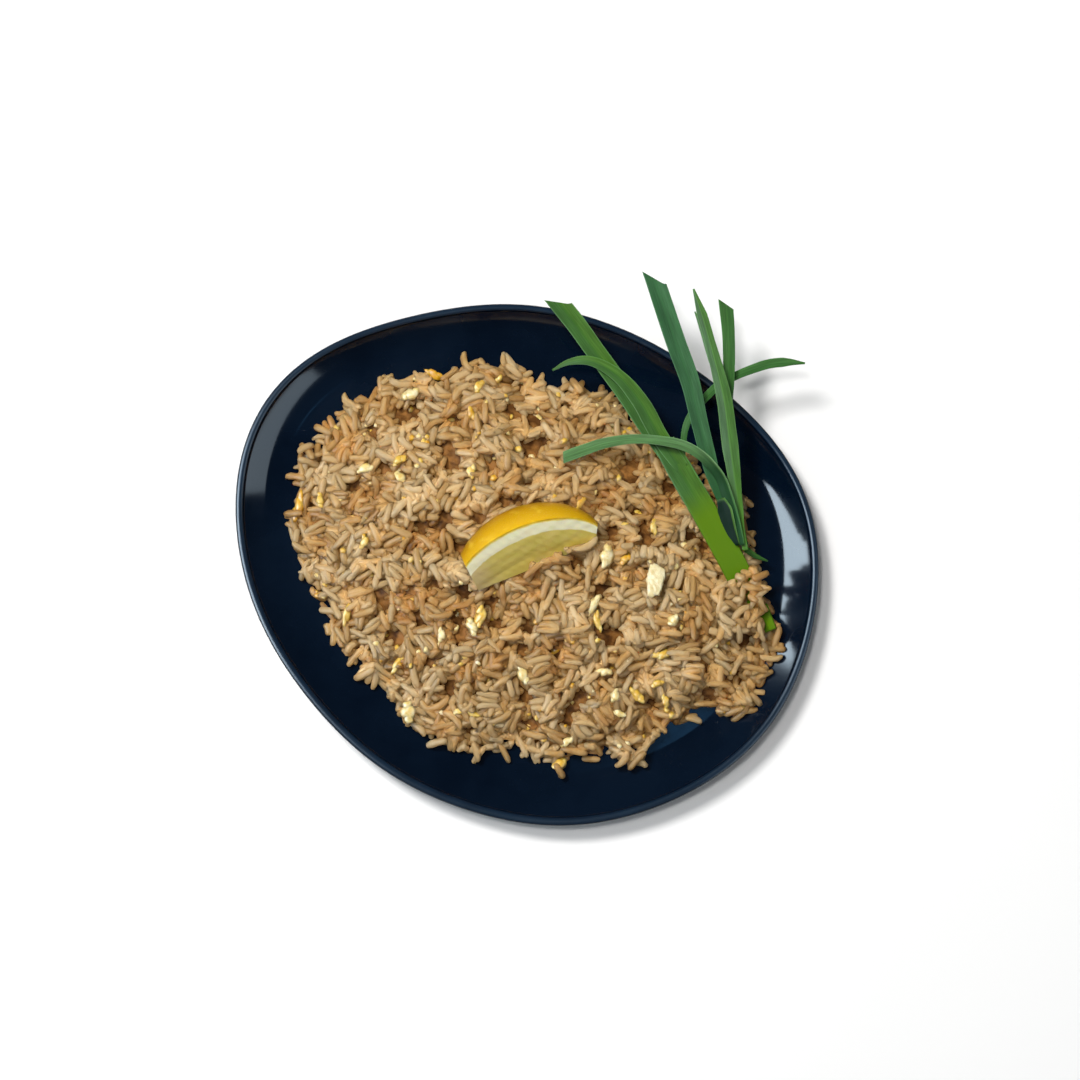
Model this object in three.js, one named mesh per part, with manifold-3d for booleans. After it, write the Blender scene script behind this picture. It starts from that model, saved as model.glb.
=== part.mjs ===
// Fried rice on a pebble-shaped stoneware plate, with a lemon wedge, a fan of flat chives and a flake of egg.
// Millimetres, +Z up, with heights from the underside of the plate's body, where its foot starts.
// At the end the group's origin is put on the table, under the middle of everything.
import * as THREE from "three";
import { mergeVertices } from "three/addons/utils/BufferGeometryUtils.js";
import Module from "manifold-3d";

const wasm = await Module();
wasm.setup();

const GAP = 0.3; // between pieces that touch
const CUT = 0.4; // around a piece that lies in the rice
const degrees = THREE.MathUtils.degToRad;

// ---------------------------------------------------------------- plate sizes
const PLATE_RADIUS = 115.5; // mean, of the rim's outer edge
const PLATE_WAVES = [
  { times: 1, swell: 0.5, turn: -106 }, // off centre
  { times: 2, swell: 10, turn: -24 }, // oval
  { times: 3, swell: 2.1, turn: 28 }, // egg
  { times: 4, swell: 1, turn: -22 }, // slightly squared
  { times: 5, swell: 0.9, turn: 10 }, // pebble
  { times: 6, swell: 0.5, turn: 24 },
  { times: 8, swell: 0.3, turn: 10 }, // a fuller corner
];
const PLATE_HEIGHT = 14; // without the foot
const FLOOR_TOP = 5.5;
const FLOOR_INSET = 20.5; // from the rim's edge to the flat floor
const WALL_BEND_INSET = 12; // where the floor's and the wall's lines would meet
const LIP_WIDTH = 3.4;
const LIP_RISE = 1.5; // of the rounded lip above the walls
const WALL_TOP = PLATE_HEIGHT - LIP_RISE;
const WELL_SHIFT = new THREE.Vector2(0.8, 2.3); // the flat floor lies a little off the rim's middle
const FOOT_OUTER_INSET = 30;
const FOOT_INNER_INSET = 35;
const FOOT_HEIGHT = 3;
const OUTSIDE_START = new THREE.Vector2(28, -1); // inset and height, just outside the foot
const OUTSIDE_BEND = new THREE.Vector2(10, -0.6);
const PLATE_SIDES = 60;
const WALL_STEPS = 5;
const LIP_STEPS = 4;

// ---------------------------------------------------------------- rice sizes
// How far the heap reaches from the plate's middle, by bearing in degrees.
const HEAP_REACH = [
  [0, 98], [15, 93], [30, 82], [48, 77], [65, 78], [85, 80], [105, 89], [122, 94],
  [138, 101], [160, 104], [180, 100], [198, 90], [212, 88], [226, 82], [240, 87], [255, 85],
  [270, 81], [285, 86], [299, 97], [310, 85], [325, 113], [341, 114], [352, 109], [360, 98],
];
const HEAP_CROWN = 23; // height of the middle above the heap's edge
const HEAP_EDGE = 2.4; // one grain thick
const HEAP_DOME = { outer: 2.2, crown: 0.8 }; // powers that make the border steep and the top broad
const HEAP_SWELLS = [
  { height: 1.3, length: 47, bearing: 20, start: 1.0 },
  { height: 1.0, length: 31, bearing: 100, start: 2.4 },
  { height: 0.8, length: 22, bearing: 62, start: 0.3 },
];
const HEAP_BUMP = 0.7; // relief of the grains that are too many to model
const HEAP_RINGS = 17;
const HEAP_UNDERSIDE = [[0.5, 12], [0.8, 48], [0.93, 102]]; // rings, as share of the reach and points
const GRAIN = { length: 8.6, thickness: 2.6, sides: 5 };
// The grain's outline: share of the half thickness, and share of the half length.
const GRAIN_OUTLINE = [[0, -1], [0.86, -0.62], [0.92, 0.55], [0, 1]];
const CRUMB = [2.4, 1.9, 1.5]; // half sizes of a crumb of egg
const RISE = 0.5; // of a grain's middle above the core
// Pieces on top lie between two shares of the heap's area, the first at a bearing in radians.
const GRAINS_ON_TOP = { count: 120, start: 0, innermost: 0, outermost: 0.84 };
const CRUMBS = { count: 22, start: 1.1, innermost: 0.02, outermost: 0.9 };
const GRAIN_TILT = 0.3; // radians, from one grain to another
const CRUMB_TILT = 0.5;
const GRAINS_ON_EDGE = 40;
const EDGE_GRAIN = { sunk: 0.4, unevenness: 0.6, yaw: 1.6, beyond: 1, climb: 0.75 };
const RICE_ROOM = 12; // free height over a leaf that lies in the rice
const SEED = 7;

// ---------------------------------------------------------------- lemon sizes
const LEMON = {
  radius: 26.5,
  halfLength: 33.6, // of the whole fruit's oval
  middle: -1.5, // of the fruit, along the wedge
  wedge: 47, // degrees
  from: -26.1,
  to: 26.1,
  slantFrom: 4.5, // degrees that the trimmed ends lean outwards
  slantTo: 31,
  place: [3.6, -2.7, 30.2],
  turn: 22.2,
};
const LEMON_SLICES = 16;
const LEMON_ARC = 6;
const PEEL_STEPS = 12; // of the search for a point on the peel
const PEEL_END = 0.985; // share of the fruit's half length that the search stays within

// ---------------------------------------------------------------- chive sizes
// Routes run from the root end, from the plate's middle. Widths and rolls are at even steps along the route.
const LEAF_THICKNESS = 0.8;
const EDGE_SHARE = 0.7; // of the thickness, left at the leaf's edges
const LEAF_STEP = 8;
const FOLD_HALF_WIDTH = 3; // a narrower leaf is folded less
const STEM = {
  route: [
    [101.3, -30.3, 11.6], [96.8, -20.6, 12.6], [91.6, -11, 15], [86, -0.6, 18.4], [80.3, 9.4, 20.9],
    [73.5, 21, 23], [66.3, 33, 24.4], [56.9, 49.5, 25.6],
  ],
  widths: [8.5, 10, 11, 11.2, 11.2, 11, 10.6, 9.4],
  thickness: [3, 3.2, 3.2, 3, 2.8, 2.4, 1.9, 1.2],
  fold: 0.5,
  roll: [-14, -10, -4, 0, 0, 0, 0, 0],
};
const LEFT_BLADE = {
  route: [
    [63.5, 37.5, 24.7], [51, 55, 25.8], [41, 69.9, 27], [33.4, 80.2, 28.2], [26.6, 89.3, 29.4],
    [20, 98.4, 30.8], [12.7, 107.5, 32.4],
  ],
  widths: [7.5, 8, 8.2, 8.2, 8.2, 8.2, 8.2],
  fold: 0.7,
  tipSlant: -7,
};
const CURLED_BLADE = {
  route: [
    [64.5, 38.5, 25.2], [55, 52, 26.9], [46.9, 66.3, 29.2], [37.3, 77.2, 30.8], [26, 83.2, 30.2],
    [17, 82.8, 27.6], [10.3, 79.7, 24.6],
  ],
  widths: [6, 7, 7.4, 6.6, 5, 3.6, 0.8],
  fold: 0.5,
};
const INNER_SHEATH = {
  route: [[87.2, 4.6, 19.2], [84.4, 12, 20.2], [81.8, 18, 21.3], [79.6, 22.8, 22.4]],
  widths: [3, 4.6, 4.4, 1.6],
  fold: 0.5,
};
const LEAVES = {
  chive_leaf_tall: {
    route: [
      [91.4, 6.6, 18.3], [86.9, 14.5, 19.2], [82, 25.3, 21.2], [77.5, 36, 24.8], [74.6, 46, 27.8],
      [71, 59.4, 31.4], [67.4, 74, 34.6], [62, 88.6, 37.6], [57, 102.9, 40.2], [52.3, 116.5, 42.4],
    ],
    widths: [2.6, 4, 5.4, 6.6, 7, 7.6, 8, 8.2, 8.2, 8],
    fold: 0.8,
    tipSlant: -9,
  },
  chive_leaf_split: {
    route: [
      [91.4, 4.2, 19.9], [89.5, 13.5, 21.4], [88.6, 22.3, 23.2], [87, 31.2, 25.8], [85.2, 42, 29],
      [83.3, 54.6, 32.3], [81.8, 65, 34.8], [79.6, 74.8, 37], [76.2, 87.2, 39.2], [72.6, 99.5, 41],
      [68.4, 112.2, 42.6],
    ],
    widths: [2.4, 3, 3.6, 5.6, 7, 6.7, 6.4, 5.2, 4.4, 4.4, 0.8],
    fold: 1,
  },
  chive_leaf_back: {
    route: [
      [91.6, 6.4, 16.7], [89, 16.9, 17.9], [86.2, 33.6, 22.2], [84, 50.4, 27], [83, 65, 30.4],
      [83.4, 73.4, 32.1], [83.6, 83.4, 33.8], [83.2, 95.7, 35.5], [82.2, 106.4, 36.6],
    ],
    widths: [2.4, 3.6, 4.4, 4.8, 4.8, 4.8, 4.9, 5.2, 6],
    fold: 0.5,
    tipSlant: -5,
  },
  chive_leaf_side: {
    route: [
      [87, 3, 16.3], [78, 15.5, 18.6], [70.5, 27, 19.7], [65.4, 39, 21.4], [65.2, 50, 23.7],
      [66.4, 56.8, 25.2], [69.6, 62.8, 26.6], [73.8, 67.7, 27.7], [79.4, 73, 28.6], [86.2, 76.8, 29.2],
      [93.3, 79.7, 29.8], [100.8, 82, 30.2], [108.9, 82.7, 30.2], [115.6, 82.3, 29.4],
    ],
    widths: [2.6, 3, 3, 3, 2.8, 2.6, 2.6, 3.2, 3.4, 3.4, 3.5, 4, 4, 0.8],
    fold: 0.2,
    roll: [0, 0, 0, 0, -25, -30, -20, -10, 0, 0, 0, 5, 0, 0],
  },
  chive_leaf_arch: {
    route: [
      [89.8, 6.4, 21.9], [86.4, 18.4, 24.6], [83.6, 27, 27.4], [81.2, 33.6, 29.2], [77.5, 38.9, 30.8],
      [72.3, 43.8, 31.6], [64.9, 47.9, 31.7], [52.8, 50.2, 31.2], [42.3, 50.5, 30.6], [31.2, 48.7, 29.9],
      [23, 46, 29.3], [14.7, 43, 28.8],
    ],
    widths: [2.6, 4.6, 5.8, 6, 5.4, 4.6, 4.2, 3.9, 4, 4.4, 4.8, 4.8],
    fold: 0.4,
    roll: [-5, -30, -45, -48, -42, -24, -8, 0, 0, 0, 0, 0],
    tipSlant: -1.5,
  },
  chive_leaf_short: {
    route: [[92, 4.6, 15.2], [95.4, 2.2, 14.4], [98.4, 0.7, 13.9], [101.4, -0.4, 13.6]],
    widths: [2.6, 2.4, 1.7, 0.6],
    fold: 0.2,
  },
};

// ---------------------------------------------------------------- egg sizes
const EGG_FLAKE = { size: [7.6, 15.6, 3.4], place: [53.2, -8.7, 30.4], turn: -8, tip: -6 };
const EGG_DENTS = [0.14, 0.1];

// ================================================================ helpers
function random(seed) {
  let state = seed;
  return () => {
    state = (state * 1664525 + 1013904223) % 4294967296;
    return state / 4294967296;
  };
}

function geometry(points, faces) {
  return new THREE.BufferGeometry()
    .setAttribute("position", new THREE.Float32BufferAttribute(points.flat(), 3))
    .setIndex(faces.flat());
}

// A closed geometry as a solid with its faces pointing out.
function solid(source) {
  const bare = source.clone();
  bare.deleteAttribute("normal");
  bare.deleteAttribute("uv");
  const merged = mergeVertices(bare, 1e-4);
  const kept = [];
  for (let i = 0; i < merged.index.count; i += 3) {
    const [a, b, c] = merged.index.array.subarray(i, i + 3);
    if (a !== b && b !== c && c !== a) kept.push([a, b, c]);
  }
  const make = (faces) =>
    new wasm.Manifold(
      new wasm.Mesh({
        numProp: 3,
        vertProperties: new Float32Array(merged.attributes.position.array),
        triVerts: new Uint32Array(faces.flat()),
      }),
    );
  const made = make(kept);
  return made.volume() > 0 ? made : make(kept.map(([a, b, c]) => [a, c, b]));
}

function meshOf(name, shape, look) {
  const { vertProperties, triVerts, numProp } = shape.getMesh();
  const points = [];
  for (let i = 0; i < vertProperties.length; i += numProp)
    points.push(Array.from(vertProperties.subarray(i, i + 3)));
  const made = new THREE.Mesh(geometry(points, [Array.from(triVerts)]), new THREE.MeshStandardMaterial(look));
  made.name = name;
  return made;
}

// The largest body of a solid, without scraps and sealed hollows.
function wholeBody(shape) {
  return shape.decompose().reduce((best, body) => (body.volume() > best.volume() ? body : best));
}

// Faces between two closed rings of any two counts, both starting at bearing 0.
function stitched(first, firstCount, second, secondCount) {
  const faces = [];
  let i = 0;
  let j = 0;
  while (i < firstCount || j < secondCount) {
    const a = first + (i % firstCount);
    const b = second + (j % secondCount);
    if (j >= secondCount || (i < firstCount && (i + 1) / firstCount <= (j + 1) / secondCount)) {
      faces.push([a, first + ((i + 1) % firstCount), b]);
      i += 1;
    } else {
      faces.push([a, second + ((j + 1) % secondCount), b]);
      j += 1;
    }
  }
  return faces;
}

// A closed surface through rings of points. The first and last rings are closed with a fan to their middles.
function throughRings(rings) {
  const middle = (ring) => [0, 1, 2].map((k) => ring.reduce((sum, p) => sum + p[k], 0) / ring.length);
  const points = [];
  const starts = rings.map((ring) => points.push(...ring) - ring.length);
  const faces = [];
  for (let k = 1; k < rings.length; k += 1)
    faces.push(...stitched(starts[k - 1], rings[k - 1].length, starts[k], rings[k].length));
  const last = rings.length - 1;
  const [bottom, top] = [points.push(middle(rings[0])) - 1, points.push(middle(rings[last])) - 1];
  const next = (ring, i) => (i + 1) % ring.length;
  rings[0].forEach((_, i) => faces.push([starts[0] + next(rings[0], i), starts[0] + i, bottom]));
  rings[last].forEach((_, i) => faces.push([starts[last] + i, starts[last] + next(rings[last], i), top]));
  return geometry(points, faces);
}

// ================================================================ plate
function rimRadius(bearing) {
  return PLATE_WAVES.reduce(
    (sum, wave) => sum + wave.swell * Math.cos(wave.times * (bearing - degrees(wave.turn))),
    PLATE_RADIUS,
  );
}

// A point at an inset from the rim; the well's rings slide across as they near the floor.
function insetPoint(bearing, inset, height, slide = Math.min(inset / FLOOR_INSET, 1)) {
  const reach = rimRadius(bearing) - inset;
  return [
    reach * Math.cos(bearing) + WELL_SHIFT.x * slide,
    reach * Math.sin(bearing) + WELL_SHIFT.y * slide,
    height,
  ];
}

const innerWall = new THREE.QuadraticBezierCurve(
  new THREE.Vector2(LIP_WIDTH, WALL_TOP),
  new THREE.Vector2(WALL_BEND_INSET, FLOOR_TOP),
  new THREE.Vector2(FLOOR_INSET, FLOOR_TOP),
);
const outerWall = new THREE.QuadraticBezierCurve(OUTSIDE_START, OUTSIDE_BEND, new THREE.Vector2(0, WALL_TOP));

// Height of the plate's upper face at a place, on the flat facets of its wall, which lie inside its curve.
function plateTop(x, y) {
  const [across, along] = [x - WELL_SHIFT.x, y - WELL_SHIFT.y];
  const sag = PLATE_RADIUS * (1 - Math.cos(Math.PI / PLATE_SIDES));
  const inset = rimRadius(Math.atan2(along, across)) - Math.hypot(across, along) - sag;
  if (inset >= FLOOR_INSET) return FLOOR_TOP;
  const wall = innerWall.getPoints(WALL_STEPS);
  const k = wall.findIndex((p) => p.x > inset);
  if (k < 1) return WALL_TOP;
  return THREE.MathUtils.mapLinear(inset, wall[k - 1].x, wall[k].x, wall[k - 1].y, wall[k].y);
}

function plateSolid(grow = 0) {
  const outline = (inset, height, slide) =>
    Array.from({ length: PLATE_SIDES }, (_, k) =>
      insetPoint((2 * Math.PI * k) / PLATE_SIDES, inset, height, slide),
    );
  const rings = [
    outline(FOOT_INNER_INSET + 1, 0, 1),
    outline(FOOT_INNER_INSET, -FOOT_HEIGHT, 1),
    outline(FOOT_OUTER_INSET, -FOOT_HEIGHT, 1),
  ];
  outerWall.getPoints(WALL_STEPS).forEach((p) => rings.push(outline(p.x, p.y)));
  for (let k = 1; k < LIP_STEPS; k += 1) {
    const turn = (Math.PI * k) / LIP_STEPS;
    rings.push(outline((LIP_WIDTH / 2) * (1 - Math.cos(turn)), WALL_TOP + LIP_RISE * Math.sin(turn) + grow));
  }
  for (let k = 0; k <= WALL_STEPS; k += 1) {
    const share = k / WALL_STEPS;
    const [p, along] = [innerWall.getPoint(share), innerWall.getTangent(share)];
    rings.push(outline(p.x - grow * along.y, p.y + grow * along.x, Math.min(p.x / FLOOR_INSET, 1)));
  }
  return solid(throughRings(rings));
}

// ================================================================ rice
function heapReach(bearing) {
  const turn = THREE.MathUtils.euclideanModulo(THREE.MathUtils.radToDeg(bearing), 360);
  const next = HEAP_REACH.findIndex(([at]) => at > turn);
  const [from, start] = HEAP_REACH[next - 1];
  const [to, end] = HEAP_REACH[next];
  return THREE.MathUtils.lerp(start, end, THREE.MathUtils.smoothstep(turn, from, to));
}

function heapTop(x, y) {
  const share = Math.min(Math.hypot(x, y) / heapReach(Math.atan2(y, x)), 1);
  const dome = (1 - share ** HEAP_DOME.outer) ** HEAP_DOME.crown;
  const swell = HEAP_SWELLS.reduce((sum, wave) => {
    const along = x * Math.cos(degrees(wave.bearing)) + y * Math.sin(degrees(wave.bearing));
    return sum + wave.height * Math.sin((2 * Math.PI * along) / wave.length + wave.start);
  }, 0);
  return plateTop(x, y) + GAP + HEAP_EDGE + HEAP_CROWN * dome + swell * Math.min(dome * 2, 1);
}

function coreSolid(draw) {
  const ring = (share, count, height) =>
    Array.from({ length: count }, (_, i) => {
      const bearing = (2 * Math.PI * i) / count;
      const reach = heapReach(bearing) * share;
      const [x, y] = [reach * Math.cos(bearing), reach * Math.sin(bearing)];
      return [x, y, height(x, y)];
    });
  const under = (x, y) => plateTop(x, y) + GAP;
  const rings = HEAP_UNDERSIDE.map(([share, count]) => ring(share, count, under));
  rings.push(ring(1, 6 * HEAP_RINGS, under));
  for (let k = HEAP_RINGS; k > 0; k -= 1)
    rings.push(ring(k / HEAP_RINGS, 6 * k, (x, y) => heapTop(x, y) + HEAP_BUMP * (2 * draw() - 1)));
  return solid(throughRings(rings));
}

// A grain of cooked rice, lying along X, as a thin barrel with blunt tips.
function grainGeometry() {
  const profile = GRAIN_OUTLINE.map(
    ([out, along]) => new THREE.Vector2((out * GRAIN.thickness) / 2, (along * GRAIN.length) / 2),
  );
  return new THREE.LatheGeometry(profile, GRAIN.sides).rotateZ(-Math.PI / 2);
}

// Turns a piece by yaw and pitch and sets it on a place.
function placed(shape, x, y, z, yaw, pitch) {
  const put = new THREE.Matrix4().compose(
    new THREE.Vector3(x, y, z),
    new THREE.Quaternion().setFromEuler(new THREE.Euler(0, -pitch, yaw, "ZYX")),
    new THREE.Vector3(1, 1, 1),
  );
  return solid(shape.clone().applyMatrix4(put));
}

function slopeAlong(x, y, yaw) {
  const [dx, dy] = [GRAIN.thickness * Math.cos(yaw), GRAIN.thickness * Math.sin(yaw)];
  return Math.atan2(heapTop(x + dx, y + dy) - heapTop(x - dx, y - dy), 2 * GRAIN.thickness);
}

// Grains and egg crumbs spread evenly by the golden angle, half sunk in the core.
function scattered(draw) {
  const pieces = [];
  const golden = Math.PI * (3 - Math.sqrt(5));
  const grain = grainGeometry();
  const crumb = new THREE.OctahedronGeometry(1, 0).scale(...CRUMB);
  const spread = ({ count, start, innermost, outermost }, make) => {
    for (let k = 0; k < count; k += 1) {
      const bearing = start + k * golden;
      const share = Math.sqrt(innermost + ((outermost - innermost) * (k + 0.5)) / count);
      const reach = share * heapReach(bearing);
      pieces.push(make(reach * Math.cos(bearing), reach * Math.sin(bearing)));
    }
  };
  spread(GRAINS_ON_TOP, (x, y) => {
    const yaw = Math.PI * draw();
    const pitch = slopeAlong(x, y, yaw) + GRAIN_TILT * (draw() - 0.5);
    return placed(grain, x, y, heapTop(x, y) + RISE, yaw, pitch);
  });
  for (let k = 0; k < GRAINS_ON_EDGE; k += 1) {
    const bearing = (2 * Math.PI * (k + EDGE_GRAIN.unevenness * draw())) / GRAINS_ON_EDGE;
    const reach = heapReach(bearing) - EDGE_GRAIN.sunk;
    const [x, y] = [reach * Math.cos(bearing), reach * Math.sin(bearing)];
    const yaw = bearing + EDGE_GRAIN.yaw * (draw() - 0.5);
    const beyond = GRAIN.length / 2 + EDGE_GRAIN.beyond;
    const rise = plateTop(x + beyond * Math.cos(yaw), y + beyond * Math.sin(yaw)) - plateTop(x, y);
    const lift = CUT + GRAIN.thickness / 2 + Math.max(rise, 0) * EDGE_GRAIN.climb;
    pieces.push(placed(grain, x, y, plateTop(x, y) + lift, yaw, Math.atan2(rise, beyond)));
  }
  spread(CRUMBS, (x, y) =>
    placed(crumb, x, y, heapTop(x, y) + RISE, Math.PI * draw(), CRUMB_TILT * draw()),
  );
  return pieces;
}

function riceSolid(keepClear) {
  const draw = random(SEED);
  let heap = coreSolid(draw);
  for (const other of keepClear) heap = heap.subtract(other);
  const crosses = (piece, other) => piece.intersect(other).volume() > 1e-6;
  for (const piece of scattered(draw))
    if (!keepClear.some((other) => crosses(piece, other))) heap = heap.add(piece);
  return wholeBody(heap);
}

// ================================================================ lemon
// A wedge lying on one cut face: its inner edge runs along X, and the peel is on the +Y side.
function lemonSolid(grow = 0) {
  const wedge = degrees(LEMON.wedge);
  const leanFrom = -Math.tan(degrees(LEMON.slantFrom));
  const leanTo = Math.tan(degrees(LEMON.slantTo));
  const rings = [];
  for (let k = 0; k <= LEMON_SLICES; k += 1) {
    const share = k / LEMON_SLICES;
    const along = THREE.MathUtils.lerp(LEMON.from - grow, LEMON.to + grow, share);
    const lean = THREE.MathUtils.lerp(leanFrom, leanTo, share);
    const section = [[along, -grow / Math.tan(wedge / 2), -grow]];
    for (let i = 0; i <= LEMON_ARC; i += 1) {
      const upper = i / LEMON_ARC;
      const [x, y, z] = peelPoint(along, lean, wedge * upper, grow);
      section.push([x, y - grow * upper * Math.sin(wedge), z + grow * (upper * (1 + Math.cos(wedge)) - 1)]);
    }
    rings.push(section);
  }
  return solid(throughRings(rings).rotateZ(degrees(LEMON.turn)).translate(...LEMON.place));
}

// Where a slice that leans along the fruit meets the peel, found by stepping outwards and correcting.
function peelPoint(along, lean, angle, grow) {
  let [x, radius] = [along, 0];
  for (let step = 0; step < PEEL_STEPS; step += 1) {
    const share = THREE.MathUtils.clamp((x - LEMON.middle) / LEMON.halfLength, -PEEL_END, PEEL_END);
    radius = LEMON.radius * Math.sqrt(1 - share ** 2) + grow;
    x = (x + along + lean * radius * Math.cos(angle)) / 2;
  }
  return [x, radius * Math.cos(angle), radius * Math.sin(angle)];
}

// ================================================================ chives
function evenly(list, share) {
  const at = THREE.MathUtils.clamp(share, 0, 1) * (list.length - 1);
  const k = Math.min(Math.floor(at), list.length - 2);
  return THREE.MathUtils.lerp(list[k], list[k + 1], at - k);
}

// A strip along a smooth route, folded a little along its middle. Both faces are split alike.
function stripSolid({ route, widths, thickness, fold = 0, roll = [0, 0], tipSlant = 0 }, grow = 0, lift = 0) {
  const curve = new THREE.CatmullRomCurve3(route.map((p) => new THREE.Vector3(...p)), false, "centripetal");
  const steps = Math.max(5, Math.round(curve.getLength() / LEAF_STEP));
  const rings = [];
  for (let k = 0; k <= steps; k += 1) {
    const share = k / steps;
    const ahead = curve.getTangentAt(share);
    const middle = curve.getPointAt(share);
    if (k === 0) middle.addScaledVector(ahead, -grow);
    if (k === steps) middle.addScaledVector(ahead, grow);
    const side = new THREE.Vector3(ahead.y, -ahead.x, 0).normalize();
    side.applyAxisAngle(ahead, degrees(evenly(roll, share)));
    const up = new THREE.Vector3().crossVectors(side, ahead);
    const half = evenly(widths, share) / 2;
    const thick = (thickness ? evenly(thickness, share) : LEAF_THICKNESS) / 2;
    const dip = fold * Math.min(1, half / FOLD_HALF_WIDTH);
    const slant = k === steps ? tipSlant / 2 : 0;
    const point = (across, rise) =>
      middle
        .clone()
        .addScaledVector(side, across * (half + grow))
        .addScaledVector(up, rise)
        .addScaledVector(ahead, across * slant)
        .toArray();
    const [edge, rib] = [EDGE_SHARE * thick + grow, thick + grow];
    const upper = [point(-1, dip + edge), point(0, rib), point(1, dip + edge)];
    const lower = [point(1, dip - edge), point(0, -rib), point(-1, dip - edge)];
    rings.push([...upper.map(([x, y, z]) => [x, y, z + lift]), ...lower]);
  }
  return solid(throughRings(rings));
}

function stemSolid() {
  const blades = [LEFT_BLADE, CURLED_BLADE, INNER_SHEATH].map((blade) => stripSolid(blade));
  return wholeBody(blades.reduce((all, blade) => all.add(blade), stripSolid(STEM)));
}

// The room that a leaf takes in the rice, open upwards.
function leafRoom(leaf) {
  return stripSolid(leaf, CUT).add(stripSolid(leaf, CUT, RICE_ROOM));
}

// ================================================================ egg
function eggSolid(grow = 0) {
  const lump = new THREE.IcosahedronGeometry(1, 1);
  const place = lump.attributes.position;
  const corner = new THREE.Vector3();
  for (let i = 0; i < place.count; i += 1) {
    corner.fromBufferAttribute(place, i);
    const across = EGG_DENTS[0] * Math.sin(5 * corner.x + 3 * corner.y);
    const down = EGG_DENTS[1] * Math.cos(4 * corner.y - 2 * corner.z);
    place.setXYZ(i, ...corner.multiplyScalar(1 + across + down).toArray());
  }
  const [wide, long, thick] = EGG_FLAKE.size;
  lump.scale(wide / 2 + grow, long / 2 + grow, thick / 2 + grow);
  lump.rotateX(degrees(EGG_FLAKE.tip)).rotateZ(degrees(EGG_FLAKE.turn)).translate(...EGG_FLAKE.place);
  return solid(lump);
}

// ================================================================ the whole
const keepClear = [
  plateSolid(GAP),
  lemonSolid(CUT),
  eggSolid(CUT),
  ...[STEM, ...Object.values(LEAVES)].map(leafRoom),
];

const dish = new THREE.Group();
dish.add(meshOf("plate", plateSolid(), { color: 0x0b1a2b, roughness: 0.12, metalness: 0 }));
dish.add(meshOf("rice", riceSolid(keepClear), { color: 0xb8935e, roughness: 0.55, metalness: 0 }));
dish.add(meshOf("lemon_wedge", lemonSolid(), { color: 0xe0b423, roughness: 0.4, metalness: 0 }));
dish.add(meshOf("egg_flake", eggSolid(), { color: 0xf1e3b0, roughness: 0.6, metalness: 0 }));
dish.add(meshOf("chive_stem", stemSolid(), { color: 0x5a8a20, roughness: 0.4, metalness: 0 }));
for (const [name, leaf] of Object.entries(LEAVES))
  dish.add(meshOf(name, stripSolid(leaf), { color: 0x34683e, roughness: 0.45, metalness: 0 }));

// The table's surface and the middle of the whole become the origin.
const whole = new THREE.Box3().setFromObject(dish);
const middle = whole.getCenter(new THREE.Vector3());
dish.position.set(-middle.x, -middle.y, -whole.min.z);

export default dish;
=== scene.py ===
# Fried rice with egg on a navy coupe plate, with a lemon wedge and a fan of flat chives.
# Lengths are millimetres from the middle of the plate's rim, and turn into metres where a mesh is made.
import math

import bmesh
import bpy
import numpy as np
from mathutils import Matrix, Vector
from mathutils.bvhtree import BVHTree


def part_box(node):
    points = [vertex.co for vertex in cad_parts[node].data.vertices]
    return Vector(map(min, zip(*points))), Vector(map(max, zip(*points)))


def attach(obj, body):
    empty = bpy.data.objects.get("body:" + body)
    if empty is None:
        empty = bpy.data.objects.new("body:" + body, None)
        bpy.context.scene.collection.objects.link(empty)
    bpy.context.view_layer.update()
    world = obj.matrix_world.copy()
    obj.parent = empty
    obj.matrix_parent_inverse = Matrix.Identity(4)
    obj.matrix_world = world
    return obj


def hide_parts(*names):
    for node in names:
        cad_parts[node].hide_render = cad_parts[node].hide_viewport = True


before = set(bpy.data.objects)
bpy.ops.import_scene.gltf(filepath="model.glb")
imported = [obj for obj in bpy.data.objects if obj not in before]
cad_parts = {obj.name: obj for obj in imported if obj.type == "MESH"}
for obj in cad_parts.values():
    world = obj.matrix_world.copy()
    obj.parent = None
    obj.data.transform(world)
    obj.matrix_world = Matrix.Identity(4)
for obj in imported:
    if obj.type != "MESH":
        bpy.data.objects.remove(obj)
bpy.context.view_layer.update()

# ================================================================ plate
# A stoneware coupe plate, thrown and then pushed off round into a pebble outline while it is soft.
# A flat floor turns up in one curve to a thin rounded lip, and it stands on a low foot ring.
# It is dipped in a glossy dark navy glaze, which runs thin and paler over the lip.
PLATE_RADIUS = 116.1
PLATE_WAVES = [  # times round, swell and turn
    (1, 0.5, -106), (2, 10, -24), (3, 2.1, 28), (4, 1, -22), (5, 0.9, 10), (6, 0.5, 24), (8, 0.3, 10),
]
FLOOR_TOP = 5.5  # heights are from the underside of the plate's body, where its foot starts
FLOOR_INSET = 20.5  # from the rim's edge to the flat floor
WELL_SHIFT = (0.8, 2.3)  # the floor lies a little off the rim's middle
WALL_TOP = 12.5
LIP_WIDTH = 3.4
LIP_RISE = 1.5
INNER_WALL = [(LIP_WIDTH, WALL_TOP), (12, FLOOR_TOP), (FLOOR_INSET, FLOOR_TOP)]  # inset and height
OUTER_WALL = [(28, -1), (10, -0.6), (0, WALL_TOP)]
FOOT_HEIGHT = 3
FOOT = [(36, 0), (35.3, -2.5), (34.7, -3), (30.3, -3), (29.7, -2.7)]
PLATE_SIDES = 288
OUTER_STEPS = 26
LIP_STEPS = 12
INNER_STEPS = 34
FLOOR_INSETS = (23, 27, 33, 41, 52, 64, 78)
LIP_WARP = 0.12  # the lip went a little out of level in the kiln
LIP_GLAZE = 1.1  # depth below the lip's top in which the glaze is thin
NAVY = (5, 17, 32)
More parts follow.
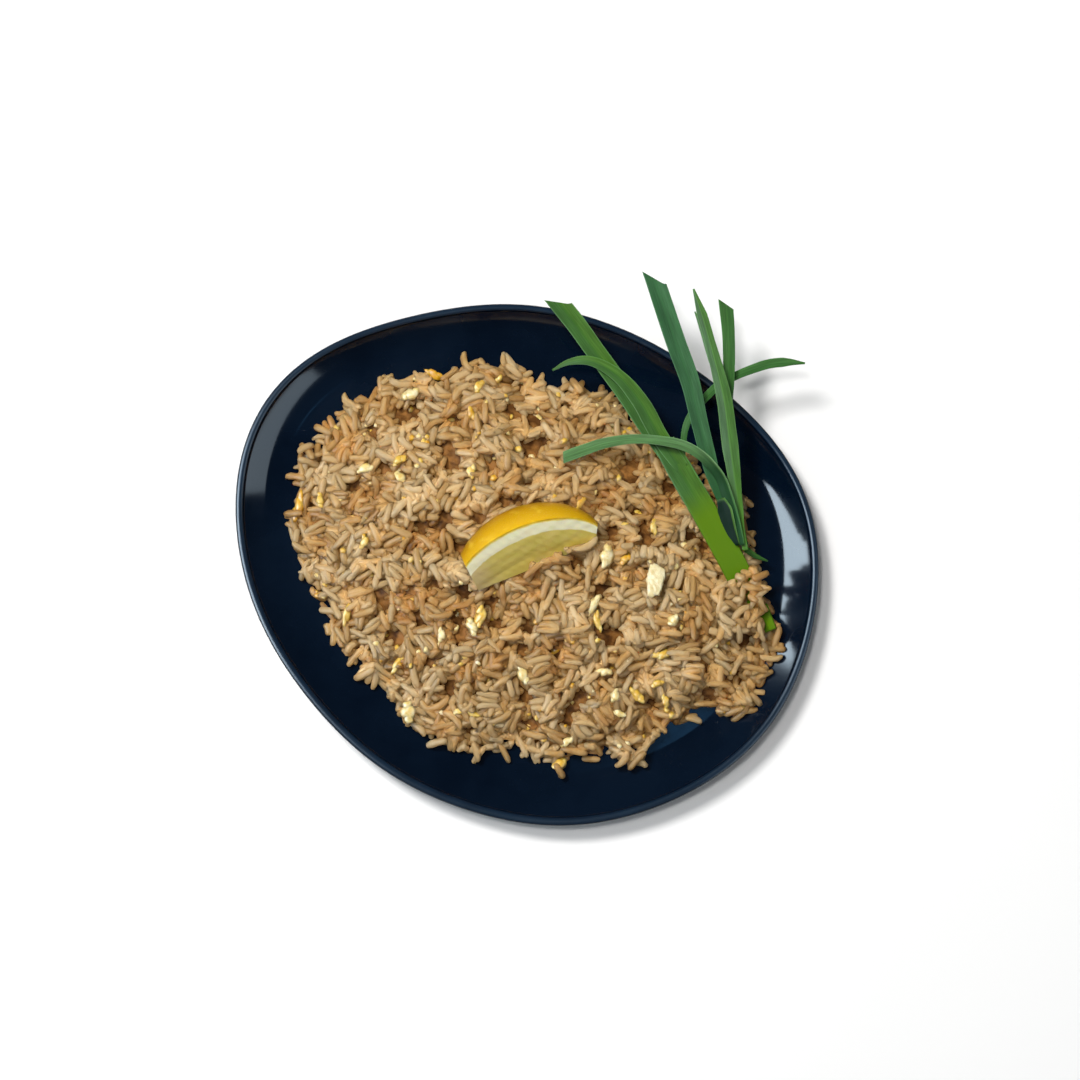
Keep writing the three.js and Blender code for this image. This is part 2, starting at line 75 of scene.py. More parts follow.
NAVY_DEEP = (2, 11, 25)
NAVY_THIN = (18, 36, 54)


def rim_radius(bearing):
    waves = sum(swell * np.cos(times * (bearing - math.radians(turn))) for times, swell, turn in PLATE_WAVES)
    return PLATE_RADIUS + waves


def bend(line, steps):
    share = np.linspace(0, 1, steps + 1)[:, None]
    start, middle, end = np.array(line, float)
    return (1 - share) ** 2 * start + 2 * share * (1 - share) * middle + share**2 * end


def plate_top(x, y):
    curve = bend(INNER_WALL, 60)
    slide = 1.0
    for _ in range(3):  # the slide follows from the inset, and the inset from the slide
        across = x - WELL_SHIFT[0] * slide
        along = y - WELL_SHIFT[1] * slide
        inset = rim_radius(np.arctan2(along, across)) - np.hypot(across, along)
        slide = np.clip(inset / FLOOR_INSET, 0, 1)
    return np.interp(inset, curve[:, 0], curve[:, 1])


def ring_points(inset, height, bearing):
    slide = min(inset / FLOOR_INSET, 1)
    reach = rim_radius(bearing) - inset
    x = reach * np.cos(bearing) + WELL_SHIFT[0] * slide
    y = reach * np.sin(bearing) + WELL_SHIFT[1] * slide
    return np.stack([x, y, np.full_like(x, height)], axis=1)


plate_bearings = np.linspace(0, 2 * math.pi, PLATE_SIDES, endpoint=False)
rim = ring_points(0, WALL_TOP, plate_bearings)
plate_low, plate_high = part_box("plate")
PLATE_MIDDLE = (np.array(plate_low) + np.array(plate_high)) * 500 - (rim.min(axis=0) + rim.max(axis=0)) / 2
PLATE_MIDDLE[2] = plate_low[2] * 1000 + FOOT_HEIGHT


def make_piece(name, points, faces, replaced, material, marks=None):
    """A piece of the root body; its marks are a value for each point, which its material reads."""
    metres = (np.asarray(points, float) + PLATE_MIDDLE) / 1000
    mesh = bpy.data.meshes.new(name)
    mesh.from_pydata(metres.tolist(), [], [tuple(face) for face in faces])
    mesh.shade_smooth()
    mesh.materials.append(material)
    for mark, values in (marks or {}).items():
        layer = mesh.attributes.new(mark, "FLOAT", "POINT")
        layer.data.foreach_set("value", np.asarray(values, np.float32))
    piece = bpy.data.objects.new(name, mesh)
    bpy.context.scene.collection.objects.link(piece)
    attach(piece, "root")
    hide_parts(replaced)
    return piece


def band_faces(rows, columns, closed=True):
    faces = []
    for row in range(rows - 1):
        for column in range(columns if closed else columns - 1):
            after = (column + 1) % columns
            here = row * columns
            above = here + columns
            faces.append((here + column, here + after, above + after, above + column))
    return faces


def capped_band(rows, columns):
    first, last = range(columns), range((rows - 1) * columns, rows * columns)
    return [*band_faces(rows, columns), tuple(first)[::-1], tuple(last)]


def paint(colour):
    linear = []
    for level in colour:
        share = level / 255
        linear.append(share / 12.92 if share <= 0.04045 else ((share + 0.055) / 1.055) ** 2.4)
    return (*linear, 1.0)


def feed(tree, socket, value):
    if isinstance(value, bpy.types.NodeSocket):
        tree.links.new(value, socket)
    else:
        socket.default_value = value


def node(tree, kind, settings=None, **sockets):
    made = tree.nodes.new("ShaderNode" + kind)
    for name, value in (settings or {}).items():
        setattr(made, name, value)
    for name, value in sockets.items():
        feed(tree, made.inputs[name.replace("_", " ")], value)
    return made


def noise(tree, place, scale, detail=2.0, roughness=0.5):
    return node(tree, "TexNoise", Vector=place, Scale=scale, Detail=detail, Roughness=roughness).outputs[0]


def combined(tree, operation, *values):
    made = node(tree, "Math", {"operation": operation})
    for socket, value in zip(made.inputs, values):
        feed(tree, socket, value)
    return made.outputs[0]


def ramp(tree, share, stops):
    made = tree.nodes.new("ShaderNodeValToRGB")
    tree.links.new(share, made.inputs[0])
    points = made.color_ramp.elements
    while len(points) < len(stops):
        points.new(0.5)
    for point, (place, colour) in zip(points, stops):
        point.position = place
        point.color = paint(colour) if len(colour) == 3 else colour
    return made.outputs[0]


def mixed(tree, share, first, second, how="MIX"):
    made = node(tree, "Mix", {"data_type": "RGBA", "blend_type": how})
    for number, value in ((0, share), (6, first), (7, second)):
        feed(tree, made.inputs[number], value)
    return made.outputs[2]


def spread(tree, value, low, high, to_low=0.0, to_high=1.0):
    made = node(tree, "MapRange", {"interpolation_type": "SMOOTHSTEP"}, Value=value)
    for name, level in (("From Min", low), ("From Max", high), ("To Min", to_low), ("To Max", to_high)):
        made.inputs[name].default_value = level
    return made.outputs[0]


def marked(tree, name):
    return node(tree, "Attribute", {"attribute_name": name}).outputs["Fac"]


def new_finish(name, **shader):
    material = bpy.data.materials.new(name)
    material.use_nodes = True
    skin = material.node_tree.nodes["Principled BSDF"]
    for socket, value in shader.items():
        skin.inputs[socket.replace("_", " ")].default_value = value
    return material, material.node_tree, skin


def emboss(tree, skin, height, strength, depth):
    relief = node(tree, "Bump", Height=height, Strength=strength, Distance=depth)
    tree.links.new(relief.outputs[0], skin.inputs["Normal"])
    return relief


def glaze_finish():
    material, tree, skin = new_finish("navy_glaze", IOR=1.45, Specular_IOR_Level=0.27)
    place = node(tree, "TexCoord").outputs["Object"]
    pooling = noise(tree, place, 26.0, 4.0, 0.6)
    colour = ramp(tree, pooling, [(0.35, NAVY_DEEP), (0.62, NAVY)])
    specks = node(tree, "TexVoronoi", Vector=place, Scale=620.0).outputs["Distance"]
    colour = mixed(tree, spread(tree, specks, 0.02, 0.12, 0.35, 0.0), colour, paint(NAVY_THIN))
    patchy = spread(tree, noise(tree, place, 90.0, 3.0), 0.2, 0.75, 0.55, 1.0)
    thin_lip = combined(tree, "MULTIPLY", marked(tree, "lip"), patchy)
    colour = mixed(tree, thin_lip, colour, paint(NAVY_THIN))
    tree.links.new(colour, skin.inputs["Base Color"])
    gloss = spread(tree, pooling, 0.3, 0.7, 0.07, 0.13)
    gloss = combined(tree, "MULTIPLY_ADD", marked(tree, "lip"), 0.25, gloss)  # the thin glaze is less glossy
    tree.links.new(gloss, skin.inputs["Roughness"])
    emboss(tree, skin, noise(tree, place, 45.0), 0.06, 0.0006)
    return material


plate_rings = [*FOOT, *bend(OUTER_WALL, OUTER_STEPS)]
for turn in np.linspace(0, math.pi, LIP_STEPS + 1)[1:]:
    plate_rings.append((LIP_WIDTH / 2 * (1 - math.cos(turn)), WALL_TOP + LIP_RISE * math.sin(turn)))
plate_rings += [*bend(INNER_WALL, INNER_STEPS)[1:], *((inset, FLOOR_TOP) for inset in FLOOR_INSETS)]
plate_points = np.concatenate([ring_points(*ring, plate_bearings) for ring in plate_rings])
warp_bearing = np.arctan2(plate_points[:, 1], plate_points[:, 0])
plate_points[:, 2] += LIP_WARP * (plate_points[:, 2] / WALL_TOP) ** 2 * np.sin(3 * warp_bearing + 1.1)
plate_faces = band_faces(len(plate_rings), PLATE_SIDES)
plate_last = len(plate_points) - PLATE_SIDES
plate_points = np.vstack([plate_points, [[*WELL_SHIFT, FLOOR_TOP], [*WELL_SHIFT, FOOT[0][1]]]])
for side in range(PLATE_SIDES):
    after = (side + 1) % PLATE_SIDES
    plate_faces.append((plate_last + side, plate_last + after, len(plate_points) - 2))
    plate_faces.append((after, side, len(plate_points) - 1))
near_lip = np.clip(1 - np.abs(plate_points[:, 2] - WALL_TOP - LIP_RISE) / LIP_GLAZE, 0, 1)
make_piece("plate_glazed", plate_points, plate_faces, "plate", glaze_finish(), {"lip": near_lip})

# ================================================================ lemon wedge
# A wedge cut from a whole lemon along its length, its two ends trimmed off square with a knife.
# It has a thin oily yellow rind, a thick cream pith and wet flesh, and lies on one of its cut faces.
LEMON_RADIUS = 26.5
LEMON_HALF_LENGTH = 33.6  # of the whole fruit's oval
LEMON_MIDDLE = -1.5  # of the fruit, along the wedge
LEMON_WEDGE = 47
LEMON_ENDS = (-26.1, 26.1)
LEMON_SLANTS = (-4.5, 31)  # the trimmed ends lean outwards
LEMON_PLACE = (3.6, -2.7, 30.2)
LEMON_TURN = 22.2
LEMON_CELLS = (120, 44, 56)  # along, from the inner edge to the peel, and round the peel
# Painted light and shade: the rind is painted lighter towards its upper cut face and darker towards the face
# it lies on.
RIND_LIT = (208, 163, 3)
RIND = (187, 139, 2)
RIND_SHADED = (166, 116, 4)
UNDER_RIND = (240, 212, 70)
PITH = (255, 252, 212)
FLESH = (218, 201, 92)
FLESH_PALE = (230, 210, 116)
CUT_END = (214, 192, 136)
UNDER_RIND_DEPTH = (0.1, 0.7)  # from the peel inwards, where each layer starts and is full
PITH_DEPTH = (0.7, 1.9)
FLESH_DEPTH = (6.6, 7.5)
CUT_END_FADE = (-26, -12)  # along the wedge
FLESH_BULGE = 0.5
FLESH_WIDTH = 20
FRUIT_TIP = 0.985  # share of the fruit's half length beyond which its oval isn't followed


def peel_point(along, lean, angle):
    x = along
    for _ in range(14):  # the radius follows from the place along, and that from the radius
        share = np.clip((x - LEMON_MIDDLE) / LEMON_HALF_LENGTH, -FRUIT_TIP, FRUIT_TIP)
        radius = LEMON_RADIUS * np.sqrt(1 - share**2)
        x = (x + along + lean * radius * np.cos(angle)) / 2
    return np.stack([x, radius * np.cos(angle), radius * np.sin(angle)], axis=-1)


def lemon_point(along_share, out_share, angle_share):
    angle = angle_share * math.radians(LEMON_WEDGE)
    along = LEMON_ENDS[0] + (LEMON_ENDS[1] - LEMON_ENDS[0]) * along_share
    leans = [math.tan(math.radians(slant)) for slant in LEMON_SLANTS]
    lean = leans[0] + (leans[1] - leans[0]) * along_share
    inner = np.stack([along, along * 0, along * 0], axis=-1)
    return inner + (peel_point(along, lean, angle) - inner) * out_share[..., None]


def lemon_finish():
    material, tree, skin = new_finish(
        "lemon", Subsurface_Weight=0.25, Subsurface_Scale=0.004, Subsurface_Radius=(1.0, 0.7, 0.2),
        Specular_IOR_Level=0.22,
    )
    place = node(tree, "TexCoord").outputs["Object"]
    uneven = noise(tree, place, 160.0, 3.0)
    depth = combined(tree, "ADD", marked(tree, "depth"), spread(tree, uneven, 0.25, 0.75, -0.35, 0.35))
    # Painted light and shade on the rind: lighter towards the upper cut face, darker towards the one it lies
    # on.
    rind = ramp(tree, marked(tree, "upward"), [(0.0, RIND_SHADED), (0.45, RIND), (0.95, RIND_LIT)])
    flesh = ramp(tree, uneven, [(0.35, FLESH), (0.7, FLESH_PALE)])
    cut_end = spread(tree, marked(tree, "along"), *CUT_END_FADE, 0.9, 0.0)
    flesh = mixed(tree, cut_end, flesh, paint(CUT_END))
    colour = mixed(tree, spread(tree, depth, *UNDER_RIND_DEPTH), rind, paint(UNDER_RIND))
    colour = mixed(tree, spread(tree, depth, *PITH_DEPTH), colour, paint(PITH))
    colour = mixed(tree, spread(tree, depth, *FLESH_DEPTH), colour, flesh)
    tree.links.new(colour, skin.inputs["Base Color"])
    tree.links.new(spread(tree, depth, 1.0, 6.0, 0.33, 0.42), skin.inputs["Roughness"])
    pores = node(tree, "TexVoronoi", Vector=place, Scale=900.0).outputs["Distance"]
    on_rind = spread(tree, depth, 0.3, 0.9, 1.0, 0.25)
    emboss(tree, skin, combined(tree, "MULTIPLY", spread(tree, pores, 0.0, 0.45), on_rind), 0.35, 0.0004)
    return material


def lemon_mesh():
    along_cells, out_cells, round_cells = LEMON_CELLS
    points = []
    faces = []
    for fixed, value, cells in (
        ("angle", 0.0, (along_cells, out_cells)),
        ("angle", 1.0, (along_cells, out_cells)),
        ("out", 1.0, (along_cells, round_cells)),
        ("along", 0.0, (out_cells, round_cells)),
        ("along", 1.0, (out_cells, round_cells)),
    ):
        steps = [np.linspace(0, 1, cell + 1) for cell in cells]
        first, second = np.meshgrid(*steps, indexing="ij")
        same = np.full_like(first, value)
        shares = {
            "angle": (first, second, same),
            "out": (first, same, second),
            "along": (same, first, second),
        }
        start = sum(len(part) for part in points)
        points.append(lemon_point(*shares[fixed]).reshape(-1, 3))
        for face in band_faces(cells[0] + 1, cells[1] + 1, closed=False):
            around = [start + corner for corner in face]
            faces.append(around if value == 0.0 else around[::-1])
    return np.concatenate(points), faces


lemon_points, lemon_faces = lemon_mesh()
lemon_share = np.clip((lemon_points[:, 0] - LEMON_MIDDLE) / LEMON_HALF_LENGTH, -FRUIT_TIP, FRUIT_TIP)
lemon_out = np.hypot(lemon_points[:, 1], lemon_points[:, 2])
lemon_depth = LEMON_RADIUS * np.sqrt(1 - lemon_share**2) - lemon_out
tilt = math.radians(LEMON_WEDGE)
lemon_upward = np.sin(np.arctan2(lemon_points[:, 2], lemon_points[:, 1])) / math.sin(tilt)
lemon_dents = 0.22 * np.sin(0.9 * lemon_points[:, 0]) * np.sin(1.1 * lemon_out + 0.6 * lemon_points[:, 0])
flesh_bulge = np.sin(np.pi * np.clip(lemon_depth / FLESH_WIDTH, 0, 1)) * FLESH_BULGE + 0.4 * lemon_dents
lemon_bulge = np.where(lemon_upward > 0.999, flesh_bulge, 0)  # on the upper cut face alone
lemon_points[:, 1] -= lemon_bulge * math.sin(tilt)
lemon_points[:, 2] += lemon_bulge * math.cos(tilt)
lemon_spin = np.array(Matrix.Rotation(math.radians(LEMON_TURN), 3, "Z"))
lemon_placed = lemon_points @ lemon_spin.T + np.array(LEMON_PLACE)
lemon_marks = {"depth": lemon_depth, "upward": lemon_upward, "along": lemon_points[:, 0]}
lemon = make_piece(
    "lemon_wedge_cut", lemon_placed, lemon_faces, "lemon_wedge", lemon_finish(), lemon_marks
)
lemon_seams = bmesh.new()
lemon_seams.from_mesh(lemon.data)
bmesh.ops.remove_doubles(lemon_seams, verts=lemon_seams.verts, dist=0.00001)
bmesh.ops.recalc_face_normals(lemon_seams, faces=lemon_seams.faces)
lemon_seams.to_mesh(lemon.data)
lemon_seams.free()
lemon.data.set_sharp_from_angle(angle=math.radians(40))

# ================================================================ egg flake
# The largest piece of scrambled egg, torn off in the wok: soft, pale and lumpy, with a rough edge.
# It lies loose on the grains beside the lemon.
EGG_SIZE = (7.6, 15.6, 3.4)
EGG_PLACE = (53.2, -8.7, 30.4)
EGG_TURN = -8
EGG_TIP = -6
EGG_CREAM = (220, 206, 158)
EGG_PALE = (232, 224, 190)
EGG_YELLOW = (206, 184, 126)
EGG_CORNERS = 0.6  # how far its sides fill out to corners
EGG_TAPER = 0.34  # its far end is wider


def egg_finish(name, deep, middle, pale):
    material, tree, skin = new_finish(
        name, Subsurface_Weight=0.3, Subsurface_Scale=0.002, Subsurface_Radius=(1.0, 0.75, 0.35),
        Roughness=0.42,
    )
    place = node(tree, "TexCoord").outputs["Object"]
    curd = noise(tree, place, 330.0, 4.0, 0.6)
    tree.links.new(ramp(tree, curd, [(0.32, deep), (0.5, middle), (0.68, pale)]), skin.inputs["Base Color"])
    emboss(tree, skin, noise(tree, place, 1200.0, 3.0), 0.5, 0.0004)
    return material


def lump(fineness):
    shape = bmesh.new()
    bmesh.ops.create_icosphere(shape, subdivisions=fineness, radius=1)
    points = np.array([corner.co[:] for corner in shape.verts])
    faces = [[corner.index for corner in face.verts] for face in shape.faces]
    shape.free()
    return points, faces


egg_points, egg_faces = lump(5)
ex, ey, ez = egg_points.T
egg_dents = 0.07 * np.sin(4 * ex + 3 * ey) + 0.06 * np.cos(4 * ey - 2 * ez)
egg_dents += 0.04 * np.sin(11 * ex + 4 * ez) * np.cos(9 * ey) + 0.03 * np.sin(19 * ey + 11 * ex)
egg_points = egg_points * (1 + egg_dents)[:, None] * np.array(EGG_SIZE) / 2
corner_fill = 0.9 / np.maximum(np.maximum(np.abs(ex), np.abs(ey)), 0.5) ** EGG_CORNERS
egg_points[:, 0] *= corner_fill * (1 + EGG_TAPER * ey)
egg_points[:, 1] *= corner_fill * (1 - 0.1 * ex)
egg_set = Matrix.Rotation(math.radians(EGG_TURN), 3, "Z") @ Matrix.Rotation(math.radians(EGG_TIP), 3, "X")
egg_points = egg_points @ np.array(egg_set).T + np.array(EGG_PLACE)
egg_look = egg_finish("egg_flake", EGG_YELLOW, EGG_CREAM, EGG_PALE)
egg_flake = make_piece("egg_flake_torn", egg_points, egg_faces, "egg_flake", egg_look)

# ================================================================ chive stem
# The flat sheath of a garlic chive, bright green and thick at the root, opening into its leaves.
# Two blades grow out of its top, one straight and one that curls over it, and inside its edge is
# the mouth where the younger leaves come out, a sheet in painted shade within a pale rim.
# It lies on the rice with its root end buried.
BLADE_THICKNESS = 0.8
BLADE_EDGE_SHARE = 0.5  # of the thickness, left at the edges
BLADE_COLUMNS = 15
BLADE_STEP = 1.0
BLADE_RIBS = 0.05
BLADE_RIPPLE = 6.4  # along its edges, from one ripple to the next, over two pi
TIP_LENGTH = 5
SHADE_SHARE = 0.8  # of the half width, with the pale rim beyond it
FIBRE_GREYS = [(0.3, (70, 70, 70)), (0.7, (190, 190, 190))]
BAND_GREYS = [(0.3, (84, 84, 84)), (0.7, (172, 172, 172))]
STEM = dict(
    route=[
        (101.3, -30.3, 11.6), (96.8, -20.6, 12.6), (91.6, -11, 15), (86, -0.6, 18.4), (80.3, 9.4, 20.9),
        (73.5, 21, 23), (66.3, 33, 24.4), (56.9, 49.5, 25.6),
    ],
    widths=[8.5, 10, 11, 11.2, 11.2, 11, 10.6, 9.4],
    thickness=[3, 3.2, 3.2, 3, 2.8, 2.4, 1.9, 1.2],
    fold=0.5,
    roll=[-14, -10, -4, 0, 0, 0, 0, 0],
    wave=0.1,
    rooted=0.78,
    fade=0.3,
)
LEFT_BLADE = dict(
    route=[
        (63.5, 37.5, 24.7), (51, 55, 25.8), (41, 69.9, 27), (33.4, 80.2, 28.2), (26.6, 89.3, 29.4),
        (20, 98.4, 30.8), (12.7, 107.5, 32.4),
    ],
    widths=[7.5, 8, 8.2, 8.2, 8.2, 8.2, 8.2],
    fold=0.7,
    tip_slant=-9,
    wave=0.35,
)
CURLED_BLADE = dict(
    route=[
        (64.5, 38.5, 25.2), (55, 52, 26.9), (46.9, 66.3, 29.2), (37.3, 77.2, 30.8), (26, 83.2, 30.2),
        (17, 82.8, 27.6), (10.3, 79.7, 24.6),
    ],
    widths=[6, 7, 7.4, 6.6, 5, 3.6, 0.8],
    fold=0.5,
    wave=0.25,
)
# The mouth's shade is painted: a dark green sheet inside the sheath's pale rim.
MOUTH_SHADE_SHEET = dict(
    route=[(88.1, 6.4, 22.4), (85.3, 12.7, 23.2), (83.9, 16.9, 24.2), (82.6, 21.3, 25.2), (80.8, 25.9, 26)],
    widths=[1.8, 4.4, 6, 6.8, 3.4],
    fold=0.5,
    roll=[-10, -25, -28, -28, -20],
    wave=0.05,
    shade_reach=1.08,
)


def smooth_route(points, step):
    points = np.array(points, float)
    points = np.vstack([2 * points[0] - points[1], points, 2 * points[-1] - points[-2]])
    fine = []
    share = np.linspace(0, 1, 40, endpoint=False)[:, None]
    for k in range(1, len(points) - 2):
        before, start, end, after = points[k - 1 : k + 3]
        gaps = [math.sqrt(np.linalg.norm(b - a)) for a, b in ((before, start), (start, end), (end, after))]
        leave = (start - before) / gaps[0] - (end - before) / (gaps[0] + gaps[1]) + (end - start) / gaps[1]
        arrive = (end - start) / gaps[1] - (after - start) / (gaps[1] + gaps[2]) + (after - end) / gaps[2]
        leave = leave * gaps[1]
        arrive = arrive * gaps[1]
        cubic = 2 * start - 2 * end + leave + arrive
        square = -3 * start + 3 * end - 2 * leave - arrive
        fine.append(cubic * share**3 + square * share**2 + leave * share + start)
    fine = np.vstack([*fine, points[-2][None]])
    run = np.concatenate([[0], np.cumsum(np.linalg.norm(np.diff(fine, axis=0), axis=1))])
    even = np.linspace(0, run[-1], max(6, round(run[-1] / step)) + 1)
    return np.stack([np.interp(even, run, fine[:, k]) for k in range(3)], axis=1), even


def evenly(values, share):
    return np.interp(share, np.linspace(0, 1, len(values)), values)


def blade(
    route, widths, thickness=None, fold=0.0, roll=(0, 0), tip_slant=0.0, wave=0.2, rooted=0.0, fade=1.0,
    shade_reach=0.0,
):
    middle, along = smooth_route(route, BLADE_STEP)
    share = along / along[-1]
    ahead = np.gradient(middle, along, axis=0)
    ahead /= np.linalg.norm(ahead, axis=1)[:, None]
    side = np.stack([ahead[:, 1], -ahead[:, 0], np.zeros(len(ahead))], axis=1)
    side /= np.linalg.norm(side, axis=1)[:, None]
    turn = np.radians(evenly(roll, share))[:, None]
    side = side * np.cos(turn) + np.cross(ahead, side) * np.sin(turn)
    up = np.cross(side, ahead)
    half = evenly(widths, share) / 2
    thick = evenly(thickness or [BLADE_THICKNESS] * 2, share) / 2
    full = np.minimum(1, half / 3)  # where it is narrow, it folds and ripples less
    across = np.sin(np.linspace(-math.pi / 2, math.pi / 2, BLADE_COLUMNS))
    slant = tip_slant / 2 * np.clip((along - along[-1] + TIP_LENGTH) / TIP_LENGTH, 0, 1) ** 2
    round_it = [(1, column) for column in across] + [(-1, column) for column in across[-2:0:-1]]
    rows = []
    for face, column in round_it:
        raised = fold * full * abs(column) ** 1.2
        body = face * thick * (BLADE_EDGE_SHARE + (1 - BLADE_EDGE_SHARE) * math.sqrt(1 - column**2))
        body = body * (0.55 if abs(column) > 0.999 else 1)
        ripple = wave * column**2 * np.sin(along / BLADE_RIPPLE + 1.9 * np.sign(column))
        height = raised + body + ripple * full + BLADE_RIBS * math.cos(column * 16)
        reach = column * half * (1 + 0.02 * np.sin(along / 11 + column))
        slanted = ahead * (column * slant)[:, None]
        rows.append(middle + side * reach[:, None] + up * height[:, None] + slanted)
    count = len(rows)
    points = np.stack(rows, axis=1).reshape(-1, 3)
    side_share = np.tile([column for _, column in round_it], len(middle))
    mouth = np.repeat(np.clip((shade_reach - share) * 4, 0, 1), count)
    marks = {
        "across": side_share,
        "along": np.repeat(along, count),
        "width": np.repeat(half * 2, count),
        "root": np.repeat(np.clip((rooted - share) / max(rooted * fade, 0.01), 0, 1), count),
        # Painted shade: the sheath's mouth and the arched leaf's inner face are marked for a dark green.
        "inside": np.clip((SHADE_SHARE - side_share) * 4, 0, 1) * mouth,
    }
    return points, [face[::-1] for face in capped_band(len(middle), count)], marks


def joined(parts):
    points = np.concatenate([part[0] for part in parts])
    faces = []
    start = 0
    for part in parts:
        faces += [[start + corner for corner in face] for face in part[1]]
        start += len(part[0])
    marks = {name: np.concatenate([part[2][name] for part in parts]) for name in parts[0][2]}
    return points, faces, marks


def blade_finish(name, left, right, rib, root, edge, inside=(6, 32, 18)):
    material, tree, skin = new_finish(
        name, Subsurface_Weight=0.12, Subsurface_Scale=0.001, Subsurface_Radius=(0.4, 1.0, 0.2),
        Roughness=0.48, Specular_IOR_Level=0.05,
    )
    across = marked(tree, "across")
    colour = mixed(tree, spread(tree, across, -0.25, 0.25), paint(left), paint(right))
    stretched = combined(tree, "MULTIPLY", marked(tree, "along"), 0.05)
    in_width = combined(tree, "MULTIPLY", across, marked(tree, "width"))
    fibre_place = node(tree, "CombineXYZ", X=in_width, Y=stretched)
    fibres = noise(tree, fibre_place.outputs[0], 1.7, 4.0, 0.65)
    colour = mixed(tree, 0.5, colour, ramp(tree, fibres, FIBRE_GREYS), "OVERLAY")
    band_place = node(tree, "CombineXYZ", X=across, Y=stretched)
    bands = noise(tree, band_place.outputs[0], 1.1, 1.0)
    colour = mixed(tree, 0.45, colour, ramp(tree, bands, BAND_GREYS), "OVERLAY")
    from_rib = combined(tree, "ABSOLUTE", across)
    colour = mixed(tree, spread(tree, from_rib, 0.0, 0.12, 0.8, 0.0), colour, paint(rib))
    colour = mixed(tree, spread(tree, from_rib, 0.86, 0.98, 0.0, 0.6), colour, paint(edge))
    colour = mixed(tree, spread(tree, marked(tree, "root"), 0.0, 0.8), colour, paint(root))
    # Painted shade: dark green where shade falls in the sheath's mouth and on the arched leaf's inner face.
    colour = mixed(tree, spread(tree, marked(tree, "inside"), 0.1, 0.7), colour, paint(inside))
    tree.links.new(colour, skin.inputs["Base Color"])
    emboss(tree, skin, fibres, 0.35, 0.0003)
    return material


def chive(replaced, kind, shapes, greens):
    points, faces, marks = joined([blade(**shape) for shape in shapes])
    look = blade_finish(replaced, *greens)
    return make_piece(f"{replaced}_{kind}", points, faces, replaced, look, marks)


STEM_GREENS = ((76, 122, 60), (86, 134, 50), (58, 102, 36), (86, 122, 16), (104, 148, 96))
stem = chive(
    "chive_stem", "sheath", (STEM, LEFT_BLADE, CURLED_BLADE, MOUTH_SHADE_SHEET), STEM_GREENS
)

# ================================================================ chive leaves
# Six younger leaves of the same chive, flat and folded along the middle, cut or pointed at the tip.
# They come out of the sheath's mouth beside the stem and fan out over the plate's edge.
LEAF_TALL = dict(
    route=[
        (91.4, 6.6, 18.3), (86.9, 14.5, 19.2), (82, 25.3, 21.2), (77.5, 36, 24.8), (74.6, 46, 27.8),
        (71, 59.4, 31.4), (67.4, 74, 34.6), (62, 88.6, 37.6), (57, 102.9, 40.2), (52.3, 116.5, 42.4),
    ],
    widths=[2.6, 4, 5.4, 6.6, 7, 7.6, 8, 8.2, 8.2, 8],
    fold=0.8,
    tip_slant=-9,
)
LEAF_SPLIT = dict(
    route=[
        (91.4, 4.2, 19.9), (89.5, 13.5, 21.4), (88.6, 22.3, 23.2), (87, 31.2, 25.8), (85.2, 42, 29),
        (83.3, 54.6, 32.3), (81.8, 65, 34.8), (79.6, 74.8, 37), (76.2, 87.2, 39.2), (72.6, 99.5, 41),
        (68.4, 112.2, 42.6),
    ],
    widths=[2.4, 3, 3.6, 5.6, 7, 6.7, 6.4, 5.2, 4.4, 4.4, 0.8],
    fold=1,
)
LEAF_SPLIT_TIP = dict(
    route=[(75.6, 82, 38.7), (73.4, 91, 39.8), (71.2, 97.6, 40.4), (69, 103, 40.9)],
    widths=[1.2, 2.2, 1.9, 0.5],
    wave=0.1,
)
LEAF_BACK = dict(
    route=[
        (91.6, 6.4, 16.7), (89, 16.9, 17.9), (86.2, 33.6, 22.2), (84, 50.4, 27), (83, 65, 30.4),
        (83.4, 73.4, 32.1), (83.6, 83.4, 33.8), (83.2, 95.7, 35.5), (82.2, 106.4, 36.6),
    ],
    widths=[2.4, 3.6, 4.4, 4.8, 4.8, 4.8, 4.9, 5.2, 6],
    fold=0.5,
    tip_slant=-5,
)
LEAF_SIDE = dict(
    route=[
        (87, 3, 16.3), (78, 15.5, 18.6), (70.5, 27, 19.7), (65.4, 39, 21.4), (65.2, 50, 23.7),
        (66.4, 56.8, 25.2), (69.6, 62.8, 26.6), (73.8, 67.7, 27.7), (79.4, 73, 28.6), (86.2, 76.8, 29.2),
        (93.3, 79.7, 29.8), (100.8, 82, 30.2), (108.9, 82.7, 30.2), (115.6, 82.3, 29.4),
    ],
    widths=[2.6, 3, 3, 3, 2.8, 2.6, 2.6, 3.2, 3.4, 3.4, 3.5, 4, 4, 0.8],
    fold=0.2,
    roll=[0, 0, 0, 0, -25, -30, -20, -10, 0, 0, 0, 5, 0, 0],
)
LEAF_ARCH = dict(
    route=[
        (89.8, 6.4, 21.9), (86.4, 18.4, 24.6), (83.6, 27, 27.4), (81.2, 33.6, 29.2), (77.5, 38.9, 30.8),
        (72.3, 43.8, 31.6), (64.9, 47.9, 31.7), (52.8, 50.2, 31.2), (42.3, 50.5, 30.6), (31.2, 48.7, 29.9),
        (23, 46, 29.3), (14.7, 43, 28.8),
    ],
    widths=[2.6, 4.6, 5.8, 6, 5.4, 4.6, 4.2, 3.9, 4, 4.4, 4.8, 4.8],
    fold=0.4,
    roll=[-5, -30, -45, -48, -42, -24, -8, 0, 0, 0, 0, 0],
    tip_slant=-1.5,
    shade_reach=0.5,
)
LEAF_SHORT = dict(
    route=[(92, 4.6, 15.2), (95.4, 2.2, 14.4), (98.4, 0.7, 13.9), (101.4, -0.4, 13.6)],
    widths=[2.6, 2.4, 1.7, 0.6],
    fold=0.2,
)
